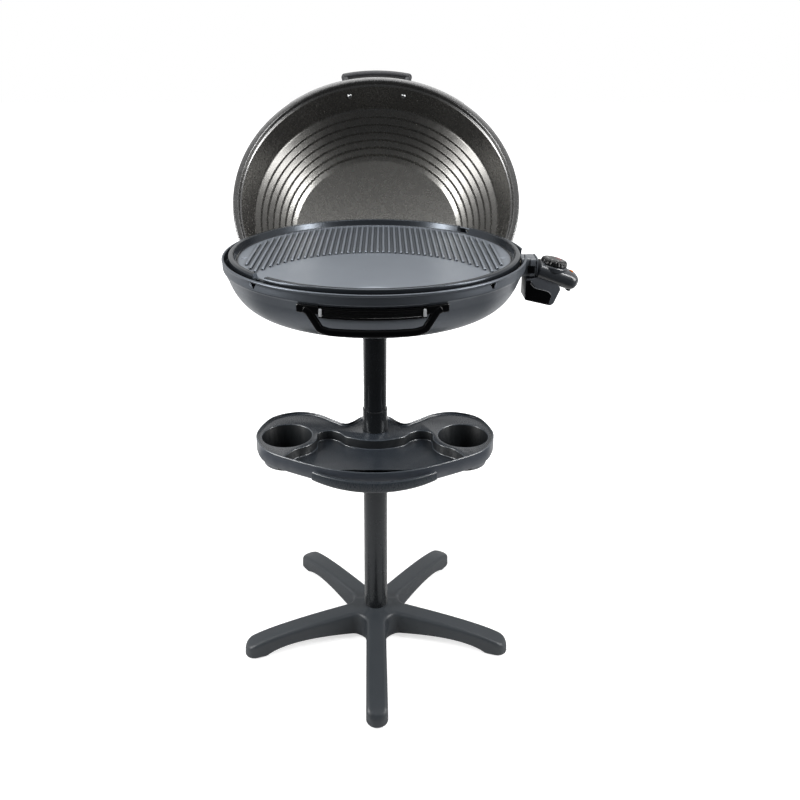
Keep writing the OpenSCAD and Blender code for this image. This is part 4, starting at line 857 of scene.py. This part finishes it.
# A gloss black plate on the front of the neck, a painted shade that stands for a recess there
recess_line = [[252, 727.5], [252, 740], [263.6, 740], [263.6, 727.5]]
piece("neck_shade_plate", [prism(recess_line, 1.5, -21.0, -19.0, 0.3)], gloss_black, "controller", "black_plastic")
trim = rounded([[257.6, 716], [259, 708], [265, 702.6], [286.8, 697], [293.6, 691.5], [292.6, 684]], 5, 8)
trim_line = trim @ [[1, 0, 0], [0, 0, 1]] + [0, -21.7, 0]
piece("housing_trim", [swept(trim_line, CROSSWISE, 0.45, 0.35, 2.0, (0.5, 0.5), 10)], bright_sheet,
      "controller", "black_plastic")

dress(controller_plastic, "thermostat", "cord_gland")
# The contacts are a dark brass, a painted shade in the gap where they show, and the lamp's lens is clear
# amber
dress(finish("tinned brass contact", ("#57544a", "#625f54"), 4, (0.4, 0.5), 0.8, 0.005, metallic=0.8),
      "connector_sockets")
dress(finish("amber acrylic", ("#d8691a", "#f08a2c"), 3, (0.08, 0.14), 1.0, 0.002), "lamp_lens")

# The dial: black, with a pale tick every 40 degrees and a red arc printed around its top
dial_black, tree = blank("moulded black phenolic with a printed scale")
place = add(tree, "TexCoord")
own = add(tree, "Mapping", {"Vector": place.outputs["Object"], "Location": tuple(DIAL_FOOT * MM),
                            "Rotation": (0, DIAL_LEAN, 0)}, vector_type="TEXTURE")
part, radius = about_axis(tree, own.outputs[0])
turn = add(tree, "Math", {0: part.outputs["Y"], 1: part.outputs["X"]}, operation="ARCTAN2")


def within(value, low, high):
    """1 where a value lies between two limits, and 0 elsewhere."""
    middle, reach = (low + high) / 2, (high - low) / 2
    return add(tree, "Math", {0: value, 1: middle, 2: reach}, operation="COMPARE").outputs[0]


def both(a, b):
    """1 where two values are both 1, and 0 elsewhere."""
    return add(tree, "Math", {0: a, 1: b}, operation="MULTIPLY").outputs[0]


on_top = within(part.outputs["Z"], 8 * MM, 20 * MM)
beat = add(tree, "Math", {0: turn.outputs[0], 1: np.pi / 9}, operation="PINGPONG")
tick = both(both(within(radius, 11.5 * MM, 15.3 * MM), within(beat.outputs[0], -0.01, 0.07)), on_top)
arc = both(both(within(radius, 8.2 * MM, 10.6 * MM), within(turn.outputs[0], -0.5, 1.3)), on_top)
colour = add(tree, "Mix", {0: tick, 6: linear("#08090a"), 7: linear("#8e8e8c")}, data_type="RGBA")
colour = add(tree, "Mix", {0: arc, 6: colour.outputs[2], 7: linear("#7d1222")}, data_type="RGBA")
grain = add(tree, "TexNoise", {"Vector": place.outputs["Object"], "Scale": 1 / (1.5 * MM)})
sheen = add(tree, "MapRange", {"Value": grain.outputs["Fac"], "To Min": 0.24, "To Max": 0.32})
shader = add(tree, "BsdfPrincipled", {"Base Color": colour.outputs[2], "Roughness": sheen.outputs[0],
                                      "IOR": 1.35})
add(tree, "OutputMaterial", {"Surface": shader.outputs[0]})


def dial_surface(flutes=24):
    """A low knob turned about its axis: its radius at an angle a is that of a drawn profile less a flute of
    depth 0.9 (1 + cos(n a)) / 2 on its side. Its top is slightly dished."""
    profile = rounded([[0, 0.3], [21.6, 0.3], [22.4, 1.5], [21.4, 6.8], [19.0, 9.3], [12, 9.8], [0, 9.4]],
                      [0, 0.6, 1, 2, 3, 5, 0], 6)
    angles = np.arange(0, 360, 1.5)
    grid = turned_about(profile, angles)
    r, h = profile[:, :1], profile[:, 1:]
    depth = 0.9 * np.clip((r - 16) / 3, 0, 1) * np.clip((h - 1.6) / 1.5, 0, 1)
    cut = 1 - depth * (1 + np.cos(np.radians(angles) * flutes)) / 2 / np.maximum(r, 1)
    grid[:, :, :2] *= cut[:, :, None]
    return sheet_of(at_dial(grid), True)


piece("dial_moulding", [dial_surface()], dial_black, "dial", "black_plastic", "knob")
